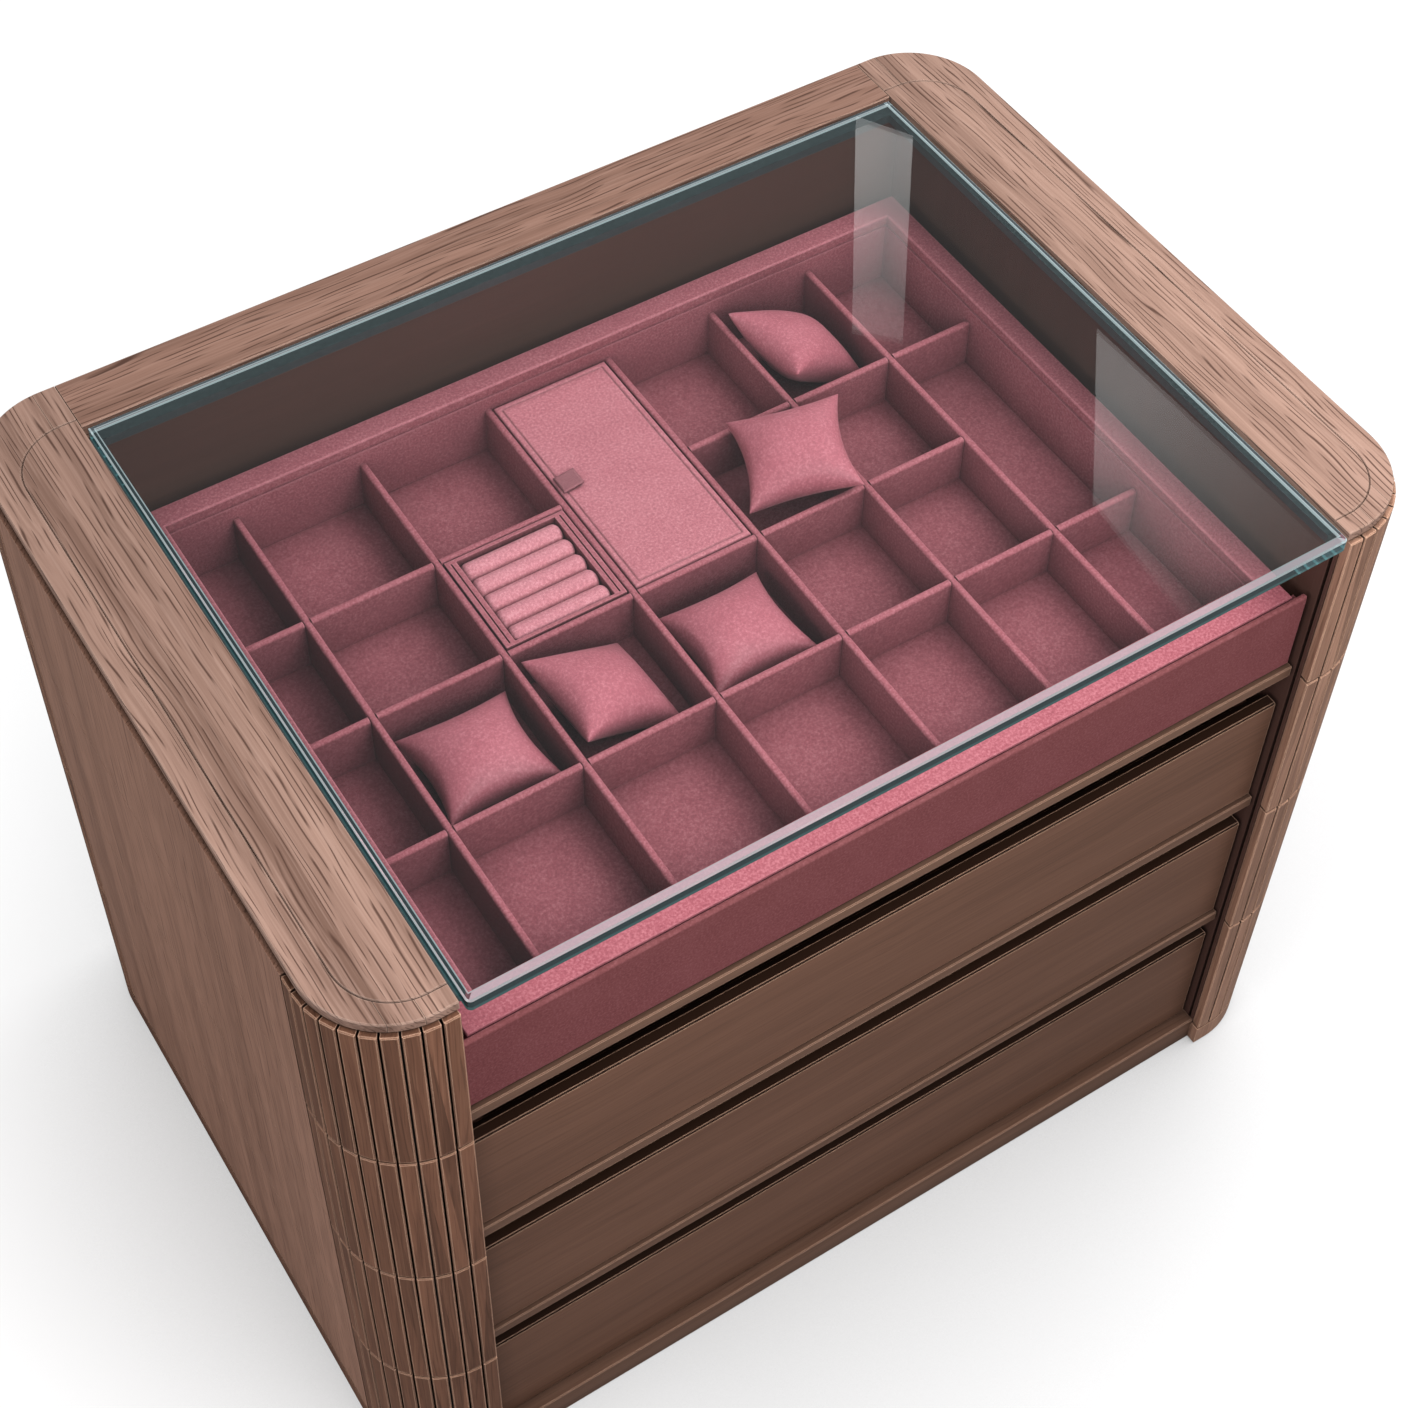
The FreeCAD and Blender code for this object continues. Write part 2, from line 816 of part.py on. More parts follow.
def lid_cleats():
    """Strips on the two long dividers that carry the lid."""
    left, right = column_span(lid_column_index)
    front = row_lines[1] + divider_thickness / 2 + divider_seam_gap
    z1 = divider_top - lid_thickness
    z0 = z1 - cleat_height
    back = well_back
    strips = [(left, left + cleat_width), (right - cleat_width, right)]
    return [block(x0, x1, front, back, z0, z1) for x0, x1 in strips]


def display_lid():
    """Padded board with eased edges, flush with the tops of the dividers."""
    left, right, front, back = lid_span()
    z0 = divider_top - lid_thickness
    lid = block(left, right, front, back, z0, divider_top)
    top = edges_where(lid, lambda p: p.z > divider_top - 1e-6)
    upright = [e for e in lid.Edges if abs(e.Vertexes[0].Z - e.Vertexes[1].Z) > 1]
    return lid.makeFillet(lid_edge_round, top + upright)


def lid_tab():
    """Folded pull tab near one long edge of the lid, thicker along its fold."""
    left, right, front, back = lid_span()
    y0 = back - tab_from_back - tab_width / 2
    fold = left + tab_from_side
    end = fold + tab_reach
    profile = polygon([
        Vector(fold, y0, divider_top),
        Vector(end, y0, divider_top),
        Vector(end, y0, divider_top + tab_thickness),
        Vector(fold, y0, divider_top + tab_thickness * 2),
    ])
    return profile.extrude(Vector(0, tab_width, 0))


# Ring-roll insert

def insert_box(side_margin, end_margin, z0, z1):
    """Block over the insert's cell, drawn in by a margin at its sides and at its front and back."""
    left, right = column_span(insert_column_index)
    front, back = row_span(insert_row_index)
    x_gap = insert_clearance + side_margin
    y_gap = insert_clearance + end_margin
    return block(left + x_gap, right - x_gap, front + y_gap, back - y_gap, z0, z1)


def insert_groove():
    """Pressed line along the middle of both side walls."""
    near = (insert_side_wall - insert_groove_width) / 2
    z0 = divider_top - insert_groove_depth
    outer = insert_box(near, insert_end_wall, z0, divider_top)
    return outer.cut(insert_box(near + insert_groove_width, insert_end_wall, z0, divider_top))


def ring_insert():
    """Covered tray: wide side walls with a pressed line, narrow walls in front and behind."""
    z0 = display_floor_top + fit_gap
    tray = insert_box(0, 0, z0, divider_top)
    tray = tray.cut(insert_box(insert_side_wall, insert_end_wall, z0 + insert_floor, divider_top))
    return tray.cut(insert_groove())


def ring_rolls():
    """Padded rolls side by side in the insert, flat where they rest."""
    bed = insert_box(insert_side_wall, insert_end_wall, display_floor_top, divider_top).BoundBox
    pitch = (bed.YMax - bed.YMin) / roll_count
    radius = (pitch - roll_gap) / 2
    z0 = display_floor_top + fit_gap + insert_floor
    middle_z = divider_top - radius
    x = bed.XMin + roll_end_gap
    length = bed.XMax - bed.XMin - 2 * roll_end_gap
    made = []
    for number in range(roll_count):
        y = bed.YMin + (number + 0.5) * pitch
        y0 = y - radius
        y1 = y + radius
        edges = [
            arc(Vector(x, y0, middle_z), Vector(x, y, divider_top), Vector(x, y1, middle_z)),
            line(Vector(x, y1, middle_z), Vector(x, y1, z0)),
            line(Vector(x, y1, z0), Vector(x, y0, z0)),
            line(Vector(x, y0, z0), Vector(x, y0, middle_z)),
        ]
        made.append(Part.Face(Part.Wire(edges)).extrude(Vector(length, 0, 0)))
    return made


# Cushions

def cushion_outline(scale, z):
    """Plan of a cushion at one height: four drawn-in sides, each in three lengths, between its corners."""
    left, right = column_span(cushion_column_index)
    front, back = row_span(cushion_row_index)
    half_x = (right - left) / 2 - cushion_side_room
    half_y = (back - front) / 2 - cushion_end_room
    points = []
    for along in (-1, -cushion_side_bend, cushion_side_bend):
        inset = cushion_draw_in * (1 - along ** 2)
        points.append(Vector(half_x * along, inset - half_y, 0))
    side = [Vector(half_x - (p.y + half_y), half_y * p.x / half_x, 0) for p in points]
    points += side
    points += [Vector(-p.x, -p.y, 0) for p in points]
    return [Vector(p.x * scale, p.y * scale, z) for p in points]


def flat_loft(outlines):
    """Solid through outlines of one proportion, with a flat face from each side to the next one's."""
    faces = [polygon(outlines[0]), polygon(outlines[-1])]
    for lower, upper in zip(outlines, outlines[1:]):
        for i in range(len(lower)):
            faces.append(polygon([lower[i - 1], lower[i], upper[i], upper[i - 1]]))
    return Part.makeSolid(Part.makeShell(faces))


def cushion(place):
    """Crowned cushion, lofted through shrinking outlines, tipped, turned and set in place."""
    outlines = []
    last = cushion_section_count - 1
    for number in range(cushion_section_count):
        lean = math.radians(cushion_lean * (2 * number / last - 1))
        outlines.append(cushion_outline(math.cos(lean), cushion_half_height * math.sin(lean)))
    made = flat_loft(outlines)
    left, right = column_span(place["column_index"])
    front, back = row_span(place["row_index"])
    aside, away = place["offset"]
    made.rotate(Vector(0, 0, 0), Vector(1, 0, 0), place["tip_x"])
    made.rotate(Vector(0, 0, 0), Vector(0, 1, 0), place["tip_y"])
    made.rotate(Vector(0, 0, 0), Vector(0, 0, 1), place["turn"])
    made.translate(Vector(
        (left + right) / 2 + aside,
        (front + back) / 2 + away,
        display_floor_top + place["lift"],
    ))
    return made


def main():
    os.makedirs("parts", exist_ok=True)
    for side, mirror in (("right", False), ("left", True)):
        flank = {
            "base": [flank_base()],
            "corner_posts": [corner_post(), mirrored_y(corner_post())],
            "slats": flank_slats(),
            "side_panel": [side_panel()],
            "lining": [lining()],
            "subtop": [subtop()],
            "cap_field": [cap_field()],
            "cap_band": cap_band(),
        }
        for name, solids in flank.items():
            if mirror:
                solids = [mirrored_x(s) for s in solids]
            save(side + "_" + name, solids)
    save("levelling_glides", glides())
    save("back_rail", [back_rail()])
    save("back_panel", [back_panel()])
    save("inner_back_panel", [inner_back_panel()])
    save("glass_top", [glass_top()])
    save("glass_ledges", glass_ledges())
    save("divider_shelves", shelves())
    save("shelf_rails", shelf_rails())
    save("plinths", plinths())
    save("bottom_board", [bottom_board()])
    save("fixed_runners", fixed_runners())
    for number in (1, 2, 3, 4):
        name = "display_drawer" if number == 1 else "drawer_%d" % number
        save(name + "_slides", drawer_slides(number))
    for number in (2, 3, 4):
        save("drawer_%d_front" % number, [drawer_front(number)])
        save("drawer_%d_box" % number, drawer_box(number))
        save("drawer_%d_floor" % number, [drawer_floor(number)])
    save("display_front", [display_front()])
    save("display_rim", display_rim())
    save("display_box", display_box())
    save("display_liner", display_liner())
    save("display_floor", [display_floor()])
    save("long_dividers", long_dividers())
    save("cross_dividers", cross_dividers())
    save("lid_cleats", lid_cleats())
    save("display_lid", [display_lid()])
    save("lid_tab", [lid_tab()])
    save("ring_insert", [ring_insert()])
    save("ring_rolls", ring_rolls())
    for letter, place in cushion_places.items():
        save("cushion_" + letter, [cushion(place)])


main()
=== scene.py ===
import math
import bmesh
import bpy
from mathutils import Matrix, Vector, noise


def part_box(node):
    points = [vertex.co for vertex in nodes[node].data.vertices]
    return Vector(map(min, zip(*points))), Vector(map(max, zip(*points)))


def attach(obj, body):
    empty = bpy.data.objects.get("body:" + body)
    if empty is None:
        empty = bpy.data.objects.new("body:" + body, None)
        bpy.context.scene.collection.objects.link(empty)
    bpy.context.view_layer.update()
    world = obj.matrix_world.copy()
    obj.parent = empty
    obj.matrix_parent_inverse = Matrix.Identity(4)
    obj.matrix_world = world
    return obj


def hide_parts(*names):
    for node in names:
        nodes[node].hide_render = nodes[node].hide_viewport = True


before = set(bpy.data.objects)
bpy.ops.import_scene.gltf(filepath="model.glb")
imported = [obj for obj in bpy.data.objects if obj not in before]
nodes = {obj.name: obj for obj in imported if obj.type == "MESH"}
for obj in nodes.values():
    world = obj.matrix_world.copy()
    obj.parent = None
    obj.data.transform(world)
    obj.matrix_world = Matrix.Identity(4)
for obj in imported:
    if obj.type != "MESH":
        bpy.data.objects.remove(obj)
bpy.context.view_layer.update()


# Small helpers for node trees

# Adds a node, sets its properties and fills or links its inputs
def addNode(tree, kind, inputs=None, **settings):
    node = tree.nodes.new(kind)
    for key, value in settings.items():
        setattr(node, key, value)
    fillInputs(tree, node, inputs or {})
    return node


def fillInputs(tree, node, inputs):
    for key, value in inputs.items():
        if isinstance(value, bpy.types.NodeSocket):
            tree.links.new(value, node.inputs[key])
        else:
            node.inputs[key].default_value = value


def grey(value):
    return (value, value, value, 1)


# Linear colour from display values out of 255
def tone(red, green, blue):
    def linear(value):
        value = value / 255
        return value / 12.92 if value <= 0.04045 else ((value + 0.055) / 1.055) ** 2.4
    return (linear(red), linear(green), linear(blue), 1)


def ramp(tree, factor, stops):
    node = addNode(tree, "ShaderNodeValToRGB", {0: factor})
    elements = node.color_ramp.elements
    elements.remove(elements[-1])
    elements[0].position = stops[0][0]
    elements[0].color = grey(stops[0][1])
    for position, value in stops[1:]:
        elements.new(position).color = grey(value)
    return node.outputs[0]


def mix(tree, factor, first, second, blend="MIX"):
    node = addNode(tree, "ShaderNodeMix", None, data_type="RGBA", blend_type=blend)
    fillInputs(tree, node, {0: factor, 6: first, 7: second})
    return node.outputs[2]


def calc(tree, operation, first, second=0.0, clamp=False):
    node = addNode(tree, "ShaderNodeMath", {0: first, 1: second}, operation=operation, use_clamp=clamp)
    return node.outputs[0]


def vectorCalc(tree, operation, first, second):
    return addNode(tree, "ShaderNodeVectorMath", {0: first, 1: second}, operation=operation).outputs[0]


def newGroup(name, inputs, outputs):
    group = bpy.data.node_groups.new(name, "ShaderNodeTree")
    for label, kind, value in inputs:
        socket = group.interface.new_socket(label, in_out="INPUT", socket_type="NodeSocket" + kind)
        if value is not None:
            socket.default_value = value
    for label, kind in outputs:
        group.interface.new_socket(label, in_out="OUTPUT", socket_type="NodeSocket" + kind)
    return group, group.nodes.new("NodeGroupInput").outputs, group.nodes.new("NodeGroupOutput").inputs


def useGroup(tree, group, inputs):
    node = tree.nodes.new("ShaderNodeGroup")
    node.node_tree = group
    fillInputs(tree, node, inputs)
    return node.outputs


# Shared effects

grainLayers = {
    "slowWander": {"scale": (4.5, 12, 12), "reach": 0.014},
    "quickWander": {"scale": (16, 40, 40), "reach": 0.0012},
    "bands": {"scale": (0.9, 26, 26), "Detail": 3.0, "Roughness": 0.55},
    "streaks": {"scale": (1.6, 120, 120), "Detail": 2.0, "Roughness": 0.5},
    "fibres": {"scale": (6, 520, 520), "Detail": 2.0, "Roughness": 0.6},
    "drift": {"scale": (3, 70, 70), "Detail": 1.0},
    "breaks": {"scale": (26, 260, 260), "Detail": 0.0},
}
grainLines = {"perMetre": 230.0, "drift": 3.2, "width": [(0.05, 1.0), (0.17, 0.0)],
              "breaks": [(0.40, 0.0), (0.55, 1.0)], "stain": (0.55, 0.5, 0.48)}
grainTones = {"seedStep": (3.1, 7.7, 5.3), "bands": 0.7, "streaks": 0.3, "figure": [(0.40, 0.0), (0.66, 1.0)],
              "paleFibres": [(0.48, 0.0), (0.75, 1.0)], "paleShare": 0.28,
              "darkFibres": [(0.30, 1.0), (0.50, 0.0)], "darkShare": 0.2,
              "roughness": 0.46, "fibreRoughness": 0.16, "fibreHeight": 0.5}


# Veneer with its grain along the vector's X: bands, fibres and thin dark lines that wander together
def makeWoodGrain():
    group, given, result = newGroup("woodGrain", [
        ("Vector", "Vector", None), ("Base", "Color", grey(0.3)), ("Dark", "Color", grey(0.1)),
        ("Pale", "Color", grey(0.5)), ("Figure", "Float", 0.5), ("Lines", "Float", 0.5),
        ("Seed", "Float", 0.0)],
        [("Color", "Color"), ("Roughness", "Float"), ("Height", "Float")])
    shift = addNode(group, "ShaderNodeVectorMath", {0: grainTones["seedStep"], 3: given["Seed"]},
                    operation="SCALE")
    vector = vectorCalc(group, "ADD", given["Vector"], shift.outputs[0])

    def layer(name, output=0):
        look = {key: value for key, value in grainLayers[name].items() if key[0].isupper()}
        mapped = addNode(group, "ShaderNodeMapping", {"Vector": vector, "Scale": grainLayers[name]["scale"]})
        inputs = {"Vector": mapped.outputs[0], "Scale": 1.0, **look}
        return addNode(group, "ShaderNodeTexNoise", inputs).outputs[output]

    for name in ("slowWander", "quickWander"):
        reach = grainLayers[name]["reach"]
        offset = vectorCalc(group, "SUBTRACT", layer(name, 1), (0.5, 0.5, 0.5))
        vector = vectorCalc(group, "ADD", vector, vectorCalc(group, "MULTIPLY", offset, (0, reach, reach)))
    fibres = layer("fibres")
    axes = addNode(group, "ShaderNodeSeparateXYZ", {0: vector}).outputs
    across = calc(group, "MULTIPLY", calc(group, "ADD", axes[1], axes[2]), grainLines["perMetre"])
    across = calc(group, "ADD", across, calc(group, "MULTIPLY", layer("drift"), grainLines["drift"]))
    ridge = calc(group, "ABSOLUTE", calc(group, "SUBTRACT", calc(group, "FRACT", across), 0.5))
    lines = calc(group, "MULTIPLY", ramp(group, ridge, grainLines["width"]),
                 ramp(group, layer("breaks"), grainLines["breaks"]))
    lines = calc(group, "MULTIPLY", lines, given["Lines"])
    bands = calc(group, "MULTIPLY", layer("bands"), grainTones["bands"])
    streaks = calc(group, "MULTIPLY", layer("streaks"), grainTones["streaks"])
    figure = ramp(group, calc(group, "ADD", bands, streaks), grainTones["figure"])
    color = mix(group, calc(group, "MULTIPLY", figure, given["Figure"]), given["Base"], given["Dark"])
    pale = calc(group, "MULTIPLY", ramp(group, fibres, grainTones["paleFibres"]), grainTones["paleShare"])
    color = mix(group, pale, color, given["Pale"])
    dim = calc(group, "MULTIPLY", ramp(group, fibres, grainTones["darkFibres"]), grainTones["darkShare"])
    color = mix(group, dim, color, given["Dark"])
    stain = vectorCalc(group, "MULTIPLY", given["Dark"], grainLines["stain"])
    rough = calc(group, "MULTIPLY", fibres, grainTones["fibreRoughness"])
    raised = calc(group, "MULTIPLY", fibres, grainTones["fibreHeight"])
    group.links.new(mix(group, lines, color, stain), result["Color"])
    group.links.new(calc(group, "ADD", grainTones["roughness"], rough), result["Roughness"])
    group.links.new(calc(group, "SUBTRACT", raised, lines), result["Height"])
    return group


napLayers = {"detail": 3.0, "grainScale": 470.0, "grainRoughness": 0.7, "grainShare": 0.62,
             "grainDeep": [(0.32, 1.0), (0.50, 0.0)], "grainPale": [(0.50, 0.0), (0.68, 1.0)],
             "patchScale": 30.0, "patchRoughness": 0.55, "patchShare": 0.08,
             "patchDeep": [(0.25, 1.0), (0.50, 0.0)], "patchPale": [(0.45, 0.0), (0.75, 1.0)]}


# Short suede nap: fine grain, brushed patches and a soft mottle
def makeNap():
    group, given, result = newGroup("suedeNap", [
        ("Vector", "Vector", None), ("Base", "Color", grey(0.4)), ("Deep", "Color", grey(0.2)),
        ("Pale", "Color", grey(0.6)), ("Grain", "Float", 1.0)],
        [("Color", "Color"), ("Height", "Float")])

    def noiseOf(kind):
        return addNode(group, "ShaderNodeTexNoise", {
            "Vector": given["Vector"], "Scale": napLayers[kind + "Scale"], "Detail": napLayers["detail"],
            "Roughness": napLayers[kind + "Roughness"]}).outputs[0]

    grain = noiseOf("grain")
    patch = noiseOf("patch")
    grainShare = calc(group, "MULTIPLY", given["Grain"], napLayers["grainShare"])
    color = given["Base"]
    for source, share, kind, target in (
            (grain, grainShare, "grainDeep", "Deep"), (grain, grainShare, "grainPale", "Pale"),
            (patch, napLayers["patchShare"], "patchPale", "Pale"),
            (patch, napLayers["patchShare"], "patchDeep", "Deep")):
        mask = calc(group, "MULTIPLY", ramp(group, source, napLayers[kind]), share)
        color = mix(group, mask, color, given[target])
    group.links.new(color, result["Color"])
    group.links.new(grain, result["Height"])
    return group


# "turned" is how far a rounded normal leaves its face, from none to a full arris
arrisLook = {"turned": [(0.004, 0.0), (0.09, 1.0)], "samples": 4}
hollowLook = {"samples": 6}


# Painted highlight: a paler arris wherever two faces meet, where a rounded edge would catch the light
def makePaintedArrisHighlight():
    group, given, result = newGroup("paintedArrisHighlight", [
        ("Color", "Color", grey(0.5)), ("Edge", "Color", grey(0.8)),
        ("Width", "Float", 0.001), ("Strength", "Float", 0.5)], [("Color", "Color")])
    rounded = addNode(group, "ShaderNodeBevel", {"Radius": given["Width"]}, samples=arrisLook["samples"])
    plain = addNode(group, "ShaderNodeNewGeometry").outputs["Normal"]
    along = addNode(group, "ShaderNodeVectorMath", {0: rounded.outputs[0], 1: plain}, operation="DOT_PRODUCT")
    turned = calc(group, "SUBTRACT", 1.0, along.outputs["Value"], True)
    edge = calc(group, "MULTIPLY", ramp(group, turned, arrisLook["turned"]), given["Strength"])
    group.links.new(mix(group, edge, given["Color"], given["Edge"]), result["Color"])
    return group


# Painted shade: darkens joints, grooves and hollows up to a depth, the more the nearer surfaces hide them
def makeHollowShade():
    group, given, result = newGroup("hollowShade", [
        ("Color", "Color", grey(0.5)), ("Shade", "Color", grey(0.02)), ("Depth", "Float", 0.004),
        ("Open", "Float", 0.72), ("Strength", "Float", 0.7)], [("Color", "Color")])
    around = addNode(group, "ShaderNodeAmbientOcclusion", {"Distance": given["Depth"]},
                     samples=hollowLook["samples"])
    seen = calc(group, "DIVIDE", around.outputs["AO"], given["Open"], True)
    hidden = calc(group, "MULTIPLY", calc(group, "SUBTRACT", 1.0, seen, True), given["Strength"])
    group.links.new(mix(group, hidden, given["Color"], given["Shade"]), result["Color"])
    return group


woodGrain = makeWoodGrain()
suedeNap = makeNap()
paintedArrisHighlight = makePaintedArrisHighlight()
hollowShade = makeHollowShade()


# Materials

def newMaterial(name):
    material = bpy.data.materials.new(name)
    material.use_nodes = True
    tree = material.node_tree
    shader = next(n for n in tree.nodes if n.type == "BSDF_PRINCIPLED")
    return material, tree, shader


# Object coordinates, turned so that the grain runs along X
def coordinates(tree, turn=(0, 0, 0)):
    source = addNode(tree, "ShaderNodeTexCoord").outputs["Object"]
    return addNode(tree, "ShaderNodeMapping", {"Vector": source, "Rotation": turn}).outputs[0]


grainTurns = {"across": (0, 0, 0), "deep": (0, 0, math.radians(90)), "upright": (0, math.radians(90), 0)}
woodRelief = {"paintedShadeTone": (0.012, 0.008, 0.007, 1), "edgeWidth": 0.0012, "bump": 0.25, "height": 0.0006}


def makeWood(name, direction, look):
    material, tree, shader = newMaterial(name)
    island = addNode(tree, "ShaderNodeNewGeometry").outputs["Random Per Island"]
    seed = calc(tree, "ADD", calc(tree, "MULTIPLY", island, look["spread"]), look["seed"])
    grain = useGroup(tree, woodGrain, {
        "Vector": coordinates(tree, grainTurns[direction]), "Base": look["base"], "Dark": look["dark"],
        "Pale": look["pale"], "Figure": look["figure"], "Lines": look["lines"], "Seed": seed})
    shade = ramp(tree, island, [(0.0, 1 - look["vary"]), (1.0, 1.0)])
    color = mix(tree, 1.0, grain["Color"], shade, "MULTIPLY")
    if "recess" in look:  # faces that look up get painted shade, the dark of the finger recess under the rail
        normal = addNode(tree, "ShaderNodeNewGeometry").outputs["Normal"]
        height = addNode(tree, "ShaderNodeSeparateXYZ", {0: normal}).outputs[2]
        color = mix(tree, ramp(tree, height, look["recess"]), color, look["recessShade"])
    # Painted highlight on the arrises
    color = useGroup(tree, paintedArrisHighlight, {
        "Color": color, "Edge": look["edge"], "Width": woodRelief["edgeWidth"],
        "Strength": look["arrisHighlightStrength"]})["Color"]
    # Painted shade in joints, grooves, gaps and recesses
    color = useGroup(tree, hollowShade, {
        "Color": color, "Shade": woodRelief["paintedShadeTone"], "Depth": look["shadeDepth"],
        "Open": look["shadeOpen"], "Strength": look["shadeStrength"]})["Color"]
    bump = addNode(tree, "ShaderNodeBump", {
        "Strength": woodRelief["bump"], "Distance": woodRelief["height"], "Height": grain["Height"]})
    tree.links.new(color, shader.inputs["Base Color"])
    tree.links.new(grain["Roughness"], shader.inputs["Roughness"])
    tree.links.new(bump.outputs[0], shader.inputs["Normal"])
    shader.inputs["Specular IOR Level"].default_value = look["gloss"]
    return material


# In these looks, edge is the colour of the painted arris highlight, and the depth, open and strength keys set
# the painted shade in joints and hollows
# What most boards share; each look below adds what is its own
boardWood = {"spread": 0.0, "vary": 0.0, "arrisHighlightStrength": 0.5, "shadeOpen": 1.0, "shadeStrength": 1.0,
             "gloss": 0.12}
topLook = {**boardWood, "base": tone(164, 131, 116), "dark": tone(104, 77, 65), "pale": tone(188, 157, 143),
           "edge": tone(216, 188, 170), "figure": 0.85, "lines": 0.9, "seed": 1.0,
           "arrisHighlightStrength": 0.25, "shadeDepth": 0.004, "gloss": 0.4}
backLook = {**topLook, "base": tone(148, 113, 98), "dark": tone(102, 74, 62), "pale": tone(176, 144, 130)}
flankLook = {**boardWood, "base": tone(162, 121, 102), "dark": tone(114, 81, 66), "pale": tone(186, 147, 129),
             "edge": tone(200, 162, 140), "figure": 0.6, "lines": 0.6, "seed": 4.0, "shadeDepth": 0.006}
slatLook = {**boardWood, "base": tone(131, 90, 70), "dark": tone(82, 52, 39), "pale": tone(166, 122, 98),
            "edge": tone(232, 188, 160), "figure": 0.7, "lines": 0.35, "seed": 9.0, "spread": 9.0,
            "vary": 0.3, "arrisHighlightStrength": 0.75, "shadeDepth": 0.007, "shadeOpen": 0.85}
# Painted light: the right slats are a lighter copy of the left ones, for the stronger light on the right
# corner
litRightSlatLook = {**slatLook, "base": tone(178, 135, 113), "dark": tone(124, 89, 72),
                 "pale": tone(204, 163, 140)}
frontLook = {**boardWood, "base": tone(116, 83, 67), "dark": tone(82, 57, 45), "pale": tone(134, 100, 82),
             "edge": tone(214, 172, 146), "figure": 0.5, "lines": 0.15, "seed": 14.0,
             "arrisHighlightStrength": 0.75, "shadeDepth": 0.028, "shadeStrength": 0.95, "gloss": 0.1,
             "recess": [(0.1, 0.0), (0.3, 1.0)], "recessShade": tone(38, 24, 17)}
innerLook = {**boardWood, "base": tone(82, 56, 49), "dark": tone(66, 44, 38), "pale": tone(92, 65, 57),
             "edge": tone(112, 86, 76), "figure": 0.4, "lines": 0.0, "seed": 21.0,
             "arrisHighlightStrength": 0.4, "shadeDepth": 0.01, "shadeOpen": 0.8, "shadeStrength": 0.8, "gloss": 0.25}
railLook = {**flankLook, "base": tone(116, 86, 71), "dark": tone(86, 61, 49), "pale": tone(136, 104, 88),
            "lines": 0.2, "edge": tone(208, 170, 146), "arrisHighlightStrength": 0.55, "shadeDepth": 0.02,
            "shadeOpen": 0.95, "shadeStrength": 0.9}

woods = {
    "topDeep": makeWood("walnutTopDeep", "deep", topLook),
    "backAcross": makeWood("walnutBackAcross", "across", backLook),
    "flank": makeWood("walnutFlank", "upright", flankLook),
    "leftSlat": makeWood("walnutLeftSlat", "upright", slatLook),
    "rightSlat": makeWood("walnutRightSlatLit", "upright", litRightSlatLook),
    "rail": makeWood("walnutRail", "across", railLook),
    "front": makeWood("walnutFront", "across", frontLook),
    "innerAcross": makeWood("walnutInnerAcross", "across", innerLook),
    "innerDeep": makeWood("walnutInnerDeep", "deep", innerLook),
    "innerUp": makeWood("walnutInnerUp", "upright", innerLook),
}


clothRelief = {"edgeWidth": 0.0022, "round": 0.0016, "samples": 4, "height": 0.0005,
               "sheenRoughness": 0.45}


def makeSuede(name, look):
    material, tree, shader = newMaterial(name)
    nap = useGroup(tree, suedeNap, {
        "Vector": coordinates(tree), "Base": look["base"], "Deep": look["deep"], "Pale": look["pale"],
        "Grain": look["grain"]})
    # Painted highlight on the arrises
    color = useGroup(tree, paintedArrisHighlight, {
        "Color": nap["Color"], "Edge": look["pale"], "Width": clothRelief["edgeWidth"],
        "Strength": look["edge"]})["Color"]
    # Painted shade: cell floors, corners, seams and grooves darken with how hidden they are
    for depth, strength in look["hollowShading"]:
        color = useGroup(tree, hollowShade, {
            "Color": color, "Shade": look["shade"], "Depth": depth, "Open": 1.0,
            "Strength": strength})["Color"]
    rounded = addNode(tree, "ShaderNodeBevel", {"Radius": clothRelief["round"]},
                      samples=clothRelief["samples"])
    bump = addNode(tree, "ShaderNodeBump", {
        "Strength": look["bump"], "Distance": clothRelief["height"], "Height": nap["Height"],
        "Normal": rounded.outputs[0]})
    tree.links.new(color, shader.inputs["Base Color"])
    tree.links.new(bump.outputs[0], shader.inputs["Normal"])
    shader.inputs["Roughness"].default_value = look["rough"]
    shader.inputs["Sheen Weight"].default_value = look["sheen"]
    shader.inputs["Sheen Roughness"].default_value = clothRelief["sheenRoughness"]
    shader.inputs["Sheen Tint"].default_value = look["pale"]
    shader.inputs["Specular IOR Level"].default_value = look["gloss"]
    return material


# In these looks, edge sets the painted arris highlight and the hollow list sets the painted shade
suedeLook = {"base": tone(168, 94, 104), "deep": tone(112, 57, 65), "pale": tone(212, 143, 151),
             "shade": tone(58, 24, 30), "hollowShading": [(0.075, 0.88), (0.004, 0.4)],
             "grain": 0.7, "edge": 0.4, "bump": 0.4, "rough": 0.88, "sheen": 0.12, "gloss": 0.12}
# Painted light: the lid is a lighter copy of the rose suede, as the top catches more light; its hollows are
# painted shade in the stitched groove
litCoverLook = {"base": tone(190, 112, 123), "deep": tone(136, 76, 86), "pale": tone(230, 164, 172),
             "shade": tone(60, 24, 30), "hollowShading": [(0.02, 0.5), (0.003, 0.6)],
             "grain": 0.75, "edge": 0.35, "bump": 0.4, "rough": 0.85, "sheen": 0.15, "gloss": 0.15}
# Painted shade: the front-facing board is a darker, browner copy of the rose suede, with the warm light it
# gets back from the wood
shadedBoardLook = {"base": tone(116, 65, 67), "deep": tone(84, 45, 48), "pale": tone(158, 104, 108),
             "shade": tone(58, 24, 30), "hollowShading": [(0.004, 0.5)],
             "grain": 0.5, "edge": 0.4, "bump": 0.4, "rough": 0.88, "sheen": 0.1, "gloss": 0.1}
